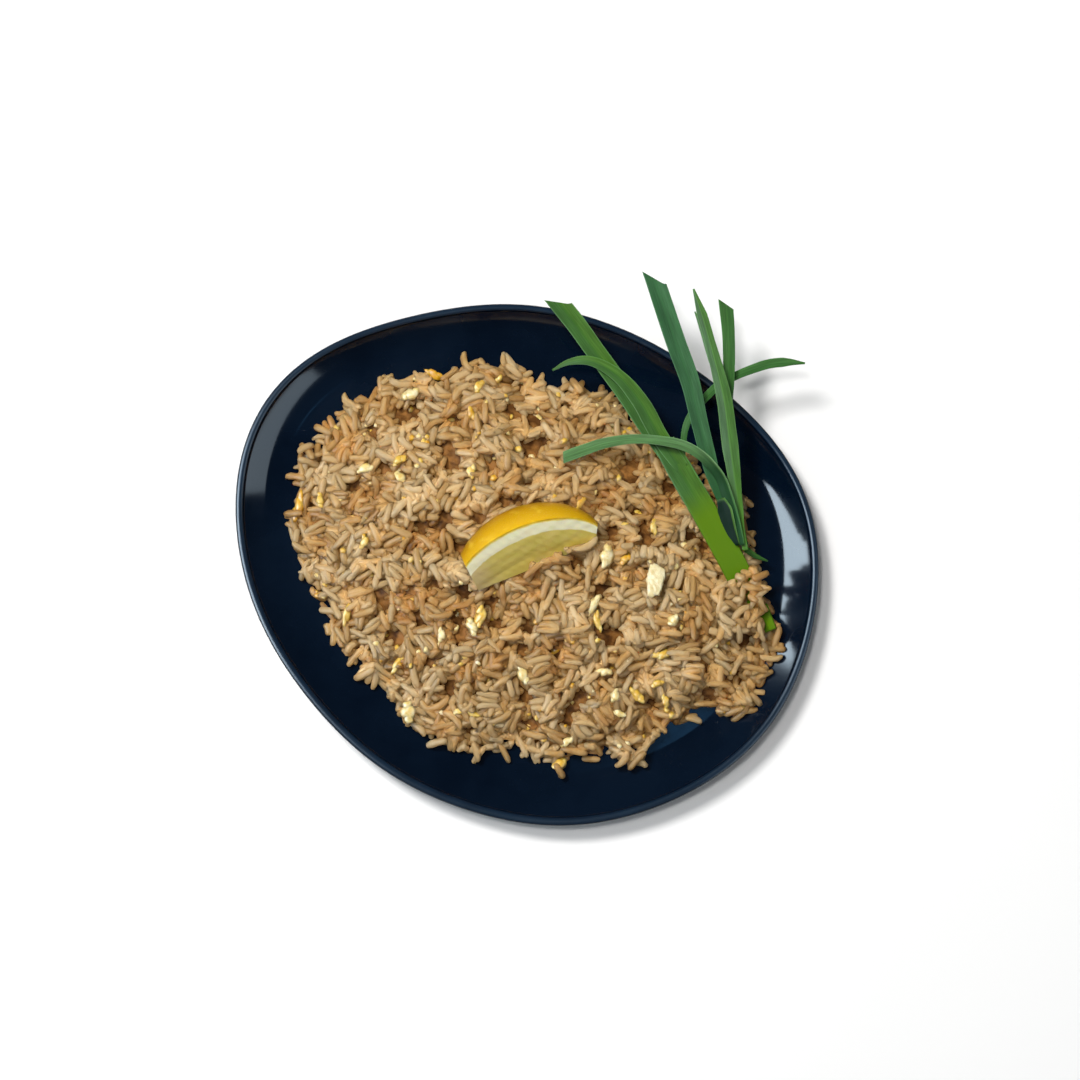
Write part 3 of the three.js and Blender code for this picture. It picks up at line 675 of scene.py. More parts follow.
# For each leaf: its shape, then the greens of its left half, right half, rib, root and edges, and for the
# arched one also of its shaded inside.
LEAVES = {
    "tall": (LEAF_TALL, (68, 118, 76), (74, 126, 80), (54, 102, 60), (46, 94, 52), (84, 134, 94)),
    "split": (LEAF_SPLIT, (106, 148, 102), (84, 134, 58), (92, 140, 68), (78, 124, 50), (104, 148, 90)),
    "back": (LEAF_BACK, (78, 128, 66), (68, 118, 56), (64, 112, 52), (56, 100, 44), (86, 134, 80)),
    "side": (LEAF_SIDE, (78, 130, 66), (68, 120, 58), (64, 112, 56), (96, 124, 56), (84, 136, 80)),
    "arch": (
        LEAF_ARCH, (98, 144, 86), (106, 152, 94), (88, 134, 76), (66, 114, 60), (126, 166, 118), (34, 72, 40)
    ),
    "short": (LEAF_SHORT, (60, 104, 44), (52, 94, 40), (50, 90, 40), (64, 108, 44), (66, 110, 52)),
}
leaf_pieces = []
for name, (shape, *greens) in LEAVES.items():
    shapes = [dict(shape, wave=0.25, rooted=0.4)]
    if name == "split":
        shapes.append(LEAF_SPLIT_TIP)
    leaf_pieces.append(chive(f"chive_leaf_{name}", "blade", shapes, greens))

# ================================================================ rice, the imported middle
# Long-grain rice fried in a wok with soy sauce and oil, heaped on the plate with a spoon.
# The middle of the heap is packed tight, and only its top shows between the loose grains: soy brown
# and oily, and painted darker still as shade for the gaps.
HEAP_REACH = [  # bearing and distance from the plate's middle
    (0, 95), (12, 96), (30, 82), (48, 76), (66, 78), (78, 76), (88, 76), (98, 86), (106, 88), (114, 86),
    (122, 93), (138, 101), (158, 104), (170, 102), (182, 97), (192, 90), (200, 89), (212, 86), (222, 81.5),
    (232, 86), (246, 86), (258, 83), (267, 79), (277, 89), (283, 84), (291, 89), (299, 97), (310, 92),
    (317, 96), (326, 115), (333, 112), (342, 112), (348, 105), (354, 99), (360, 95),
]
HEAP_CROWN = 23
HEAP_EDGE = 2.4
HEAP_DOME = (2.2, 0.8)  # powers that make the border steep and the top broad
HEAP_SWELLS = [(1.3, 47, 20, 1.0), (1.0, 31, 100, 2.4), (0.8, 22, 62, 0.3)]  # height, length, bearing, start
HEAP_GAP = 0.3
LOOSE_DEPTH = 7.0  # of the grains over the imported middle
PACKED_SHARE = 0.94  # of the heap's reach
PACKED_FOOT = HEAP_GAP - 0.2
PACKED_RINGS = 110
PACKED_SIDES = 300
# Soy brown with painted shade: darker than the grains, for the gaps between them.
SOY_AND_SHADE_BROWN = (142, 98, 50)
SOY_AND_SHADE_DARK = (86, 55, 26)


def heap_reach(bearing):
    turn = np.degrees(bearing) % 360
    places = np.array([place for place, _ in HEAP_REACH], float)
    reaches = np.array([reach for _, reach in HEAP_REACH], float)
    after = np.clip(np.searchsorted(places, turn, side="right"), 1, len(places) - 1)
    share = np.clip((turn - places[after - 1]) / (places[after] - places[after - 1]), 0, 1)
    share = share * share * (3 - 2 * share)
    return reaches[after - 1] + (reaches[after] - reaches[after - 1]) * share


def heap_top(x, y):
    share = np.minimum(np.hypot(x, y) / heap_reach(np.arctan2(y, x)), 1)
    dome = (1 - share ** HEAP_DOME[0]) ** HEAP_DOME[1]
    swell = 0
    for height, length, bearing, start in HEAP_SWELLS:
        run = x * math.cos(math.radians(bearing)) + y * math.sin(math.radians(bearing))
        swell = swell + height * np.sin(2 * math.pi * run / length + start)
    return plate_top(x, y) + HEAP_GAP + HEAP_EDGE + HEAP_CROWN * dome + swell * np.minimum(dome * 2, 1)


def packed_top(x, y):
    share = np.hypot(x, y) / heap_reach(np.arctan2(y, x))
    lumps = 0.7 * np.sin(1.3 * x + 0.8 * y) * np.sin(1.1 * y - 0.5 * x)
    lumps = lumps + 0.4 * np.sin(2.3 * x - 1.2 * y + 1) * np.sin(1.9 * y + 0.7)
    top = heap_top(x, y) - LOOSE_DEPTH + lumps
    low = plate_top(x, y) + HEAP_GAP
    return np.where(share < PACKED_SHARE, np.maximum(top, low + 0.1), low)


def packed_finish():
    material, tree, skin = new_finish("packed_rice", Roughness=0.6, Specular_IOR_Level=0.06)
    place = node(tree, "TexCoord").outputs["Object"]
    # Soy stain and painted shade: the packed top is dark brown where it shows in the gaps.
    patches = ramp(tree, noise(tree, place, 220.0, 3.0), [(0.4, SOY_AND_SHADE_DARK), (0.62, SOY_AND_SHADE_BROWN)])
    tree.links.new(patches, skin.inputs["Base Color"])
    emboss(tree, skin, node(tree, "TexVoronoi", Vector=place, Scale=330.0).outputs["Distance"], 0.6, 0.0012)
    return material


packed_bearing = np.linspace(0, 2 * math.pi, PACKED_SIDES, endpoint=False)
packed_rows = []
for row in range(PACKED_RINGS):
    reach = heap_reach(packed_bearing) * PACKED_SHARE * (1 - row / PACKED_RINGS)
    px, py = reach * np.cos(packed_bearing), reach * np.sin(packed_bearing)
    packed_rows.append(np.stack([px, py, packed_top(px, py)], axis=1))
under = packed_rows[0].copy()
under[:, 2] = plate_top(under[:, 0], under[:, 1]) + PACKED_FOOT
under_inner = under.copy()
under_inner[:, :2] *= 0.5
under_inner[:, 2] = FLOOR_TOP + PACKED_FOOT
packed_points = np.concatenate([under_inner, under, *packed_rows])
packed_faces = capped_band(PACKED_RINGS + 2, PACKED_SIDES)
make_piece("rice_packed_middle", packed_points, packed_faces, "rice", packed_finish())

# ================================================================ rice, the loose grains
# Each cooked grain is slender, slightly bent and blunt at the ends, with a soft oily shine.
# They fall on the heap one after another, each coming to rest on those under it, beneath the lemon
# and the chives. Here they fill the heap up to its last layer.
GRAIN_LENGTH = (7.8, 12.0)
GRAIN_THICKNESS = (2.4, 3.3)
GRAIN_BLUNTNESS = (7, 0.5)  # powers of its outline
GRAIN_STATIONS = (-0.985, -0.89, -0.55, 0, 0.55, 0.89, 0.985)
GRAIN_SIDES = 7
GRAIN_COUNT = 4300
FILL_MARGIN = -1.4  # the grains fill the heap up to this far from its top
TRIES = 10  # places of which a grain takes the emptiest
BROKEN_SHARE = 0.2
BROKEN_LENGTH = (0.45, 0.7)
BUNDLE_SHARE = 0.14  # of the grains, with others stuck along their side
BUNDLE_STEP = 1.7  # half thicknesses from one to the next
BUNDLE_LENGTH = (0.85, 1.1)
BUNDLE_RISE = 0.8  # it may stand this much over the heap's top
STANDING_SHARE = 0.4  # of the grains, stuck at a slant
STANDING_SLOPE = (0.25, 1.1)
STANDING_SINK = 0.45
ALIGNED_SHARE = 0.6  # of the grains, stuck to others that point the same way
PRESS = 0.62  # soft grains press into each other, down to this share of their thickness
SINK = 0.6
CLEARANCE = 0.1  # under the lemon, the egg and the chives
CELL = 0.5  # of the grid on which the heap's height is kept
GROUND = (126, 116)  # that the grid reaches each way
BORDER_WAVES = [(1.1, 23, 1.0), (0.9, 41, 2.5)]  # height, times round and start
BORDER_INSET = 1.0
BORDER_RISE = 1.6  # of the outermost grains over the glaze, besides their thickness
CLUMPS = 170
CLUMP_RADIUS = (3.5, 7.0)
CLUMP_RISE = (1.0, 3.4)
PITS = 84  # dark hollows between clumps
PIT_RADIUS = (1.9, 3.8)
PIT_DEPTH = 6.0
PIT_CLEAR = 0.62  # share of its depth from which on no grain may lie across it
PIT_BORDER = 0.93  # share of the heap's reach from which on they may
NO_PIT = 1.8  # height of a clump that has no pit in it
draw = np.random.default_rng(11)
cells_x = np.arange(-GROUND[0], GROUND[0], CELL)
cells_y = np.arange(-GROUND[1], GROUND[1], CELL)
ground_x, ground_y = np.meshgrid(cells_x, cells_y, indexing="ij")
ground_bearing = np.arctan2(ground_y, ground_x)
border = sum(high * np.sin(times * ground_bearing + start) for high, times, start in BORDER_WAVES)
ground_reach = heap_reach(ground_bearing) + border - BORDER_INSET
ground_share = np.hypot(ground_x, ground_y) / ground_reach
wanted = heap_top(ground_x, ground_y) - 1.2  # the height that the grains' middles should reach


def bump(radius, rise):
    bearing = draw.uniform(0, 2 * math.pi)
    reach = heap_reach(bearing) * math.sqrt(draw.uniform(0, 0.95))
    away = np.hypot(ground_x - reach * math.cos(bearing), ground_y - reach * math.sin(bearing))
    return rise * np.exp(-((away / draw.uniform(*radius)) ** 2))


clumps = np.zeros(ground_x.shape)
for _ in range(CLUMPS):
    clumps = np.maximum(clumps, bump(CLUMP_RADIUS, draw.uniform(*CLUMP_RISE)))
pits = np.zeros(ground_x.shape)
for _ in range(PITS):
    pits = np.maximum(pits, bump(PIT_RADIUS, PIT_DEPTH))
pits = pits * (clumps < NO_PIT)
wanted = wanted + clumps - pits
bare_plate = plate_top(ground_x, ground_y)
wanted = np.maximum(wanted, bare_plate + GRAIN_THICKNESS[1] + BORDER_RISE)
wanted = np.where(ground_share <= 1.0, wanted, -100)
level = np.where(ground_share < PACKED_SHARE, packed_top(ground_x, ground_y), bare_plate + HEAP_GAP)


def faces_seen(piece, upward):
    tree = BVHTree.FromPolygons(
        [corner.co[:] for corner in piece.data.vertices],
        [face.vertices[:] for face in piece.data.polygons],
    )
    corners = np.array([corner.co[:] for corner in piece.data.vertices]) * 1000 - PLATE_MIDDLE
    low = corners.min(axis=0) - CELL
    high = corners.max(axis=0) + CELL
    seen = np.full(ground_x.shape, np.nan)
    start = Vector((0, 0, -0.1 if upward else 0.2))  # clear of the whole part
    ray = Vector((0, 0, 1 if upward else -1))
    for i in np.nonzero((cells_x > low[0]) & (cells_x < high[0]))[0]:
        start.x = (cells_x[i] + PLATE_MIDDLE[0]) / 1000
        for j in np.nonzero((cells_y > low[1]) & (cells_y < high[1]))[0]:
            start.y = (cells_y[j] + PLATE_MIDDLE[1]) / 1000
            hit = tree.ray_cast(start, ray)[0]
            if hit is not None:
                seen[i, j] = hit.z * 1000 - PLATE_MIDDLE[2]
    return seen


# The ceiling is the height that no grain may pass: what lies on the heap, and the floor of each pit.
OPEN_SKY = 1000.0
ceiling = np.full(ground_x.shape, OPEN_SKY)
for piece in (lemon, egg_flake, stem, *leaf_pieces):
    ceiling = np.fmin(ceiling, faces_seen(piece, upward=True))
in_pit = (pits > PIT_DEPTH * PIT_CLEAR) & (ground_share < PIT_BORDER)
ceiling = np.where(in_pit, np.minimum(ceiling, wanted), ceiling)


def cell_of(x, y):
    i = np.clip(((x - cells_x[0]) / CELL + 0.5).astype(int), 0, len(cells_x) - 1)
    j = np.clip(((y - cells_y[0]) / CELL + 0.5).astype(int), 0, len(cells_y) - 1)
    return i, j


STATIONS = np.linspace(-0.9, 0.9, 9)
GIRTH = (1 - np.abs(STATIONS) ** GRAIN_BLUNTNESS[0]) ** GRAIN_BLUNTNESS[1]
SLOPES = np.linspace(-0.75, 0.75, 25)


def rest(x, y, yaw, half, thick, slopes=SLOPES):
    """Lowest height and slope at which grains at many places lie on what is under them."""
    run = STATIONS * half
    across = np.array([-0.5, 0, 0.5]) * thick
    px = x[:, None, None] + run[:, None] * np.cos(yaw)[:, None, None] - across * np.sin(yaw)[:, None, None]
    py = y[:, None, None] + run[:, None] * np.sin(yaw)[:, None, None] + across * np.cos(yaw)[:, None, None]
    i, j = cell_of(px, py)
    profile = GIRTH[:, None] * np.sqrt(1 - (across / thick) ** 2)
    held = (level[i, j] + profile * thick * PRESS).max(axis=2)
    heights = (held[:, None, :] - slopes[None, :, None] * run[None, None, :]).max(axis=2)
    best = heights.argmin(axis=1)
    return heights[np.arange(len(x)), best], slopes[best]


def stamp(x, y, z, yaw, slope, half, thick):
    """Adds a grain to the heap's level, unless it would cross what lies above."""
    wide = half + thick
    i0, j0 = cell_of(np.array([x - wide]), np.array([y - wide]))
    i1, j1 = cell_of(np.array([x + wide]), np.array([y + wide]))
    patch = (slice(i0[0], i1[0] + 1), slice(j0[0], j1[0] + 1))
    dx = ground_x[patch] - x
    dy = ground_y[patch] - y
    run = dx * math.cos(yaw) + dy * math.sin(yaw)
    across = -dx * math.sin(yaw) + dy * math.cos(yaw)
    share = np.abs(run / (half * math.cos(math.atan(slope))))
    girth = thick * (1 - np.minimum(share, 1) ** GRAIN_BLUNTNESS[0]) ** GRAIN_BLUNTNESS[1]
    inside = (share < 1) & (np.abs(across) < girth)
    top = z + slope * run + np.sqrt(np.maximum(girth**2 - across**2, 0))
    if np.any(inside & (top > ceiling[patch] - CLEARANCE)):
        return False
    pressed = z + slope * run + np.sqrt(np.maximum((girth * PRESS) ** 2 - across**2, 0))
    inside &= np.abs(across) < girth * PRESS
    level[patch] = np.where(inside, np.maximum(level[patch], pressed), level[patch])
    return True


grains = []


def new_grain():
    half = draw.uniform(*GRAIN_LENGTH) / 2
    if draw.random() < BROKEN_SHARE:
        half *= draw.uniform(*BROKEN_LENGTH)
    return half, draw.uniform(*GRAIN_THICKNESS) / 2


def keep_grain(x, y, z, yaw, slope, half, thick):
    if not stamp(x, y, z, yaw, slope, half, thick):
        return False
    grains.append((x, y, z, yaw, slope, half, thick))
    return True


def lay_grain(x, y, yaw, size, sink, highest):
    """Lays one grain on what is under its place, if that isn't too high."""
    z, slope = rest(np.array([x]), np.array([y]), np.array([yaw]), *size)
    if z[0] <= highest:
        keep_grain(x, y, z[0] - sink, yaw, slope[0], *size)


def drop_beside(x, y, z, yaw, slope, half, thick, margin):
    """Grains that stuck together in the pot lie side by side."""
    for number in range(1, draw.integers(2, 4)):
        step = BUNDLE_STEP * thick * number
        ahead = draw.uniform(-0.3, 0.3) * half
        beside_x = np.array([x - step * math.sin(yaw) + ahead * math.cos(yaw)])
        beside_y = np.array([y + step * math.cos(yaw) + ahead * math.sin(yaw)])
        turned = np.array([yaw + draw.normal(0, 0.2)])
        length = half * draw.uniform(*BUNDLE_LENGTH)
        low, _ = rest(beside_x, beside_y, turned, length, thick, np.array([slope]))
        i, j = cell_of(beside_x, beside_y)
        level_z = max(low[0] - SINK - 0.4 * length * abs(slope), z - 0.8)
        if level_z + thick > wanted[i[0], j[0]] + margin + BUNDLE_RISE or level_z < low[0] - 3:
            return
        keep_grain(beside_x[0], beside_y[0], level_z, turned[0], slope, length, thick)


def drop_grain(places, margin):
    """Tries a grain at some places and leaves it where it fills the heap best."""
    half, thick = new_grain()
    x, y = places
    yaw = draw.uniform(0, math.pi, len(x))
    if draw.random() < ALIGNED_SHARE:
        flow = 2.2 * np.sin(x / 9 + 1.4 * np.sin(y / 13)) + 2.2 * np.sin(y / 8 - 1.2 * np.sin(x / 15 + 2))
        yaw = flow + draw.normal(0, 0.4, len(x))
    slopes = SLOPES
    if draw.random() < STANDING_SHARE:
        slopes = np.array([draw.choice([-1, 1]) * draw.uniform(*STANDING_SLOPE)])
    z, slope = rest(x, y, yaw, half, thick, slopes)
    i, j = cell_of(x, y)
    sink = SINK + STANDING_SINK * half * np.abs(slope) / np.hypot(1, slope) * (len(slopes) == 1)
    z = z - sink
    # how far its raised end stays under the wanted height
    spare = wanted[i, j] + margin - (z + thick + 0.6 * half * np.abs(slope) / np.hypot(1, slope))
    for k in np.argsort(-spare):
        if spare[k] < 0:
            return False
        if keep_grain(x[k], y[k], z[k], yaw[k], slope[k], half, thick):
            if draw.random() < BUNDLE_SHARE:
                drop_beside(x[k], y[k], z[k], yaw[k], slope[k], half, thick, margin)
            return True
    return False


inside_heap = np.argwhere((ground_share < 1.0) & (ground_x**2 + ground_y**2 > 0))


def low_places(count):
    picked = inside_heap[draw.integers(0, len(inside_heap), count * 6)]
    shortfall = wanted[picked[:, 0], picked[:, 1]] - level[picked[:, 0], picked[:, 1]]
    picked = picked[np.argsort(-shortfall)[:count]]
    x = cells_x[picked[:, 0]] + draw.uniform(-CELL, CELL, count) / 2
    y = cells_y[picked[:, 1]] + draw.uniform(-CELL, CELL, count) / 2
    return x, y


for _ in range(GRAIN_COUNT * 3):
    if len(grains) >= GRAIN_COUNT:
        break
    drop_grain(low_places(TRIES), FILL_MARGIN)

# ================================================================ egg crumbs
# Scrambled egg broken up small while the rice was fried: pale curds and yolk-yellow bits.
# The small ones here lie between the grains, and the last layer of rice half covers some of them.
CRUMB_KINDS = {
    "cream": ((214, 180, 88), (230, 207, 140), (241, 227, 184)),
    "yellow": ((202, 154, 36), (222, 182, 72), (238, 214, 136)),
    "orange": ((192, 136, 18), (210, 156, 32), (226, 184, 74)),
}
# The crumbs that stand out on top: kind, place, length, width and turn.
SEEN_CRUMBS = [
    ("cream", 33.1, 1.8, 8.2, 5.0, 85), ("orange", 40.6, 0.5, 4.6, 3.4, 40),
    ("cream", 27.2, -18.7, 8.6, 3.6, 65), ("yellow", 28.9, -25.4, 7.6, 2.6, 100),
    ("cream", 60.7, -25.0, 4.8, 4.2, 30), ("yellow", 56.5, -39.7, 6.6, 3.6, 20),
    ("yellow", 86.7, -27.5, 5.2, 4.6, 10), ("yellow", 100.9, -22.1, 4.8, 4.4, 60),
    ("cream", 32.2, -46.8, 5.2, 3.2, 20), ("yellow", 45.6, -56.8, 6.4, 3.4, 120),
    ("cream", 36.4, -56.8, 5.0, 3.6, 70), ("yellow", 54.4, -51.8, 4.8, 3.2, 20),
    ("cream", 38.1, -64.4, 4.6, 3.0, 150), ("yellow", 1.7, -69.8, 7.0, 4.0, 25),
    ("cream", 16.3, -76.9, 4.8, 3.0, 50), ("yellow", 13.4, -86.6, 5.2, 4.6, 10),
    ("yellow", 57.8, -59.3, 4.4, 3.0, 100), ("cream", -49.4, 70.1, 6.4, 4.2, 30),
    ("orange", -40.2, 78.9, 7.0, 3.4, 150), ("yellow", -20.9, 73.4, 5.2, 3.2, 60),
    ("yellow", -33.9, 59.6, 5.0, 3.4, 10), ("orange", -23.9, 61.7, 4.6, 3.0, 110),
    ("cream", 3.8, 58.8, 8.4, 4.8, 80), ("yellow", -54.4, 42.0, 5.4, 3.6, 40),
    ("cream", -53.6, 34.9, 4.6, 3.4, 160), ("cream", -68.7, 38.7, 6.2, 3.6, 20),
    ("yellow", -23.9, 37.0, 4.8, 3.2, 90), ("yellow", -68.7, 7.7, 5.6, 3.4, 70),
    ("yellow", -87.9, 25.3, 5.0, 3.4, 120), ("orange", -97.2, 22.7, 10.4, 4.0, 85),
    ("yellow", -67.8, 54.6, 5.2, 3.2, 15), ("yellow", -76.6, -22.9, 7.6, 3.2, 80),
    ("cream", -50.7, -64.4, 7.0, 6.4, 60), ("yellow", -20.0, -23.6, 7.6, 4.0, 70),
    ("cream", -23.4, -27.6, 6.6, 3.8, 120), ("cream", -28.9, -22.1, 4.8, 4.2, 0),
    ("yellow", -55.3, -43.4, 8.0, 2.4, 60), ("orange", 11.7, -37.6, 4.2, 2.6, 30),
    ("cream", -2.3, -47.6, 7.6, 4.0, 100), ("cream", -36.0, -31.2, 5.2, 3.2, 95),
    ("yellow", -29.3, -63.6, 3.8, 2.4, 20), ("yellow", -23.0, -64.8, 4.8, 2.2, 160),
    ("yellow", 52.6, 14.0, 6.0, 2.8, 85), ("yellow", 46.0, 20.0, 5.2, 3.0, 30),
    ("orange", 22.0, 24.0, 4.8, 2.4, 50),
]
SEEN_CRUMB_SCALE = (1.15, 1.3)  # for what the grains hide of their length and width
SMALL_CRUMBS = 170
LAST_CRUMBS = 130
SMALL_CRUMB_SIZE = (1.5, 3.4)
large_knob = lump(2)
small_knob = lump(1)
crumb_heaps = {kind: [] for kind in CRUMB_KINDS}


def knob(base, size):
    points, faces = base
    bx, by, bz = points.T
    phase = draw.uniform(0, 6.28, 6)
    dents = 0.2 * np.sin(3.1 * bx + phase[0]) * np.cos(2.7 * by + phase[1])
    dents = dents + 0.14 * np.sin(4.3 * bz + phase[2]) + 0.06 * np.sin(13 * by + phase[5])
    dents = dents + 0.11 * np.sin(7 * bx + phase[3]) * np.cos(8 * by + phase[4])
    return points * (1 + dents)[:, None] * np.array(size) / 2, faces


def drop_crumb(kind, x, y, long, wide, turn, shown):
    high = min(long, wide) * draw.uniform(0.55, 0.75)
    reach = np.hypot(ground_x - x, ground_y - y) / (wide / 2)
    under_it = reach < 0.9
    dome = high / 2 * np.sqrt(np.maximum(1 - reach[under_it] ** 2, 0))
    # Soft egg sags from the highest grain under it towards the others.
    base = level[under_it].max() * 0.5 + np.percentile(level[under_it], 60) * 0.5
    z = min(base + high / 2 - 0.5, ceiling[under_it].min() - high / 2 - 0.1)
    level[under_it] = np.maximum(level[under_it], z + dome)
    size = np.array([long, wide, high])
    knobs = [(knob(small_knob, size), np.zeros(3))]
    if shown:
        knobs = [(knob(large_knob, size * 0.8), np.zeros(3))]
        for end in (-1, 1):
            part = size * draw.uniform(0.4, 0.62, 3)
            knobs.append((knob(large_knob, part), size * (0.3 * end, draw.uniform(-0.25, 0.25), 0.05)))
    spin = Matrix.Rotation(math.radians(turn), 3, "Z") @ Matrix.Rotation(draw.uniform(-0.3, 0.3), 3, "X")
    for (points, faces), shift in knobs:
        placed = (points + shift) @ np.array(spin).T + np.array([x, y, z])
        crumb_heaps[kind].append((placed, faces, {}))


def drop_small_crumb(number):
    place = inside_heap[draw.integers(0, len(inside_heap))]
    long = draw.uniform(*SMALL_CRUMB_SIZE)
    kind = ("yellow", "cream", "orange", "yellow", "yellow", "cream")[number % 6]
    x, y = cells_x[place[0]], cells_y[place[1]]
    if ceiling[place[0], place[1]] == OPEN_SKY:
        drop_crumb(kind, x, y, long, long * draw.uniform(0.6, 0.95), draw.uniform(0, 180), shown=False)


for number in range(SMALL_CRUMBS):
    drop_small_crumb(number)

# ================================================================ rice and egg, the last layer
# The last grains fall where they will, so the top is uneven, and the large crumbs of egg lie on them.
# A few grains have slid off the heap, some lie over the stem's buried root, and some against the
# lemon. Soy has browned some more than others.
TOP_GRAINS = 1400
TOP_MARGIN = 2.2
TOP_TRIES = 2
STRAY_COUNT = 26
STRAY_REACH = (-1.0, 2.2)  # beyond the heap's border
STRAY_SINK = 0.05
STEM_SPOT = (86, -2)  # on the stem, with the direction from there to its root
STEM_ROOTWARD = (0.45, -0.89)
STEM_COVER_TRIES = 468
STEM_COVER_X = (80.5, 98.5)
STEM_COVER_Y = (-31, -5.5)
STEM_COVER = (6, 23.5)  # from the spot towards the root
STEM_COVER_SIDE = -1.6  # across the stem, where the side towards the heap starts
STEM_COVER_HEAPWARD = 31  # how far the cover goes on that side
STEM_COVER_TOP = 22
LEMON_COVER = 22
LEMON_COVER_ALONG = (-3, 24)
LEMON_COVER_ACROSS = (-1.6, 0.9)
LEMON_COVER_SPREAD = 0.9  # of their directions about the lemon's
LEMON_COVER_RISE = 5
LEMON_COVER_SINK = 0.2
first_layers = len(grains)
for _ in range(TOP_GRAINS * 3):
    if len(grains) - first_layers >= TOP_GRAINS:
        break
    picked = inside_heap[draw.integers(0, len(inside_heap), TOP_TRIES)]
    drop_grain((cells_x[picked[:, 0]], cells_y[picked[:, 1]]), TOP_MARGIN)

for kind, x, y, long, wide, turn in SEEN_CRUMBS:
    drop_crumb(kind, x, y, long * SEEN_CRUMB_SCALE[0], wide * SEEN_CRUMB_SCALE[1], turn, shown=True)
for number in range(LAST_CRUMBS):
    drop_small_crumb(number)
for kind, yellows in CRUMB_KINDS.items():
    crumb_points, crumb_faces, _ = joined(crumb_heaps[kind])
    look = egg_finish(f"egg_{kind}", *yellows)
    make_piece(f"egg_crumbs_{kind}", crumb_points, crumb_faces, "rice", look)

for _ in range(STRAY_COUNT):
    bearing = draw.uniform(0, 2 * math.pi)
    far = heap_reach(np.array([bearing]))[0] + draw.uniform(*STRAY_REACH)
    size = new_grain()
    x, y = far * math.cos(bearing), far * math.sin(bearing)
    lay_grain(x, y, draw.uniform(0, math.pi), size, STRAY_SINK, OPEN_SKY)


def lay_over(piece):
    """Lets the next grains lie on a piece that the others stayed under."""
    top = faces_seen(piece, upward=False)
    return np.where(np.isnan(top), ceiling, OPEN_SKY), np.fmax(level, top)


ceiling, level = lay_over(stem)
over_x = draw.uniform(*STEM_COVER_X, STEM_COVER_TRIES)
over_y = draw.uniform(*STEM_COVER_Y, STEM_COVER_TRIES)
for x, y in zip(over_x, over_y):
    rootward = (x - STEM_SPOT[0]) * STEM_ROOTWARD[0] + (y - STEM_SPOT[1]) * STEM_ROOTWARD[1]
    outward = (x - STEM_SPOT[0]) * -STEM_ROOTWARD[1] + (y - STEM_SPOT[1]) * STEM_ROOTWARD[0]
    farthest = STEM_COVER_HEAPWARD if outward < STEM_COVER_SIDE else STEM_COVER[1]
    if rootward < STEM_COVER[0] or rootward > farthest:
        continue
    size = new_grain()
    lay_grain(x, y, draw.uniform(0, math.pi), size, SINK, STEM_COVER_TOP)

ceiling, level = lay_over(lemon)
for along_edge in np.linspace(*LEMON_COVER_ALONG, LEMON_COVER):
    edge_spot = lemon_spin @ np.array([along_edge, draw.uniform(*LEMON_COVER_ACROSS), 0])
    x, y, edge_z = edge_spot + np.array(LEMON_PLACE)
    size = new_grain()
    yaw = math.radians(LEMON_TURN) + draw.normal(0, LEMON_COVER_SPREAD)
    lay_grain(x, y, yaw, size, LEMON_COVER_SINK, edge_z + LEMON_COVER_RISE)


def grain_template():
    """One straight grain of unit size, with where each corner of its skin lies when that is laid flat."""
    around = np.linspace(0, 2 * math.pi, GRAIN_SIDES, endpoint=False)
    rings = []
    for station in GRAIN_STATIONS:
        girth = (1 - abs(station) ** GRAIN_BLUNTNESS[0]) ** GRAIN_BLUNTNESS[1]
        ring = [np.full(GRAIN_SIDES, station), girth * np.cos(around), girth * np.sin(around)]
        rings.append(np.stack(ring, axis=1))
    points = np.vstack([*rings, [[-1, 0, 0]], [[1, 0, 0]]])
    faces = band_faces(len(rings), GRAIN_SIDES)
    skin_high = len(rings) + 1
    skin = []
    for row in range(len(faces)):
        ring, side = divmod(row, GRAIN_SIDES)
        left, right = side / GRAIN_SIDES, (side + 1) / GRAIN_SIDES
        low, high = (ring + 1) / skin_high, (ring + 2) / skin_high
        skin += [(left, low), (right, low), (right, high), (left, high)]
    last = (len(rings) - 1) * GRAIN_SIDES
    for side in range(GRAIN_SIDES):
        after = (side + 1) % GRAIN_SIDES
        left, right = side / GRAIN_SIDES, (side + 1) / GRAIN_SIDES
        middle = (left + right) / 2
        faces.append((after, side, len(points) - 2))
        skin += [(right, 1 / skin_high), (left, 1 / skin_high), (middle, 0)]
        faces.append((last + side, last + after, len(points) - 1))
        skin += [(left, len(rings) / skin_high), (right, len(rings) / skin_high), (middle, 1)]
    return points, faces, np.array(skin)


GRAIN_TONE = (0.45, 0.8)  # from dark to pale, before what follows
# Painted shade: grains deeper in the heap and under other grains are painted darker.
SHADE_BELOW = 0.07  # darker for each millimetre under the heap's top
SHADE_COVERED = 0.05  # and under other grains
RIDGE_HIGHLIGHT = 0.24  # paler along its top
GRAIN_WIDE = (0.94, 1.06)  # shares of its thickness
GRAIN_FLAT = (0.9, 1.0)
GRAIN_BOW = 0.13  # shares of its half length and of its girth
GRAIN_TAPER = 0.12


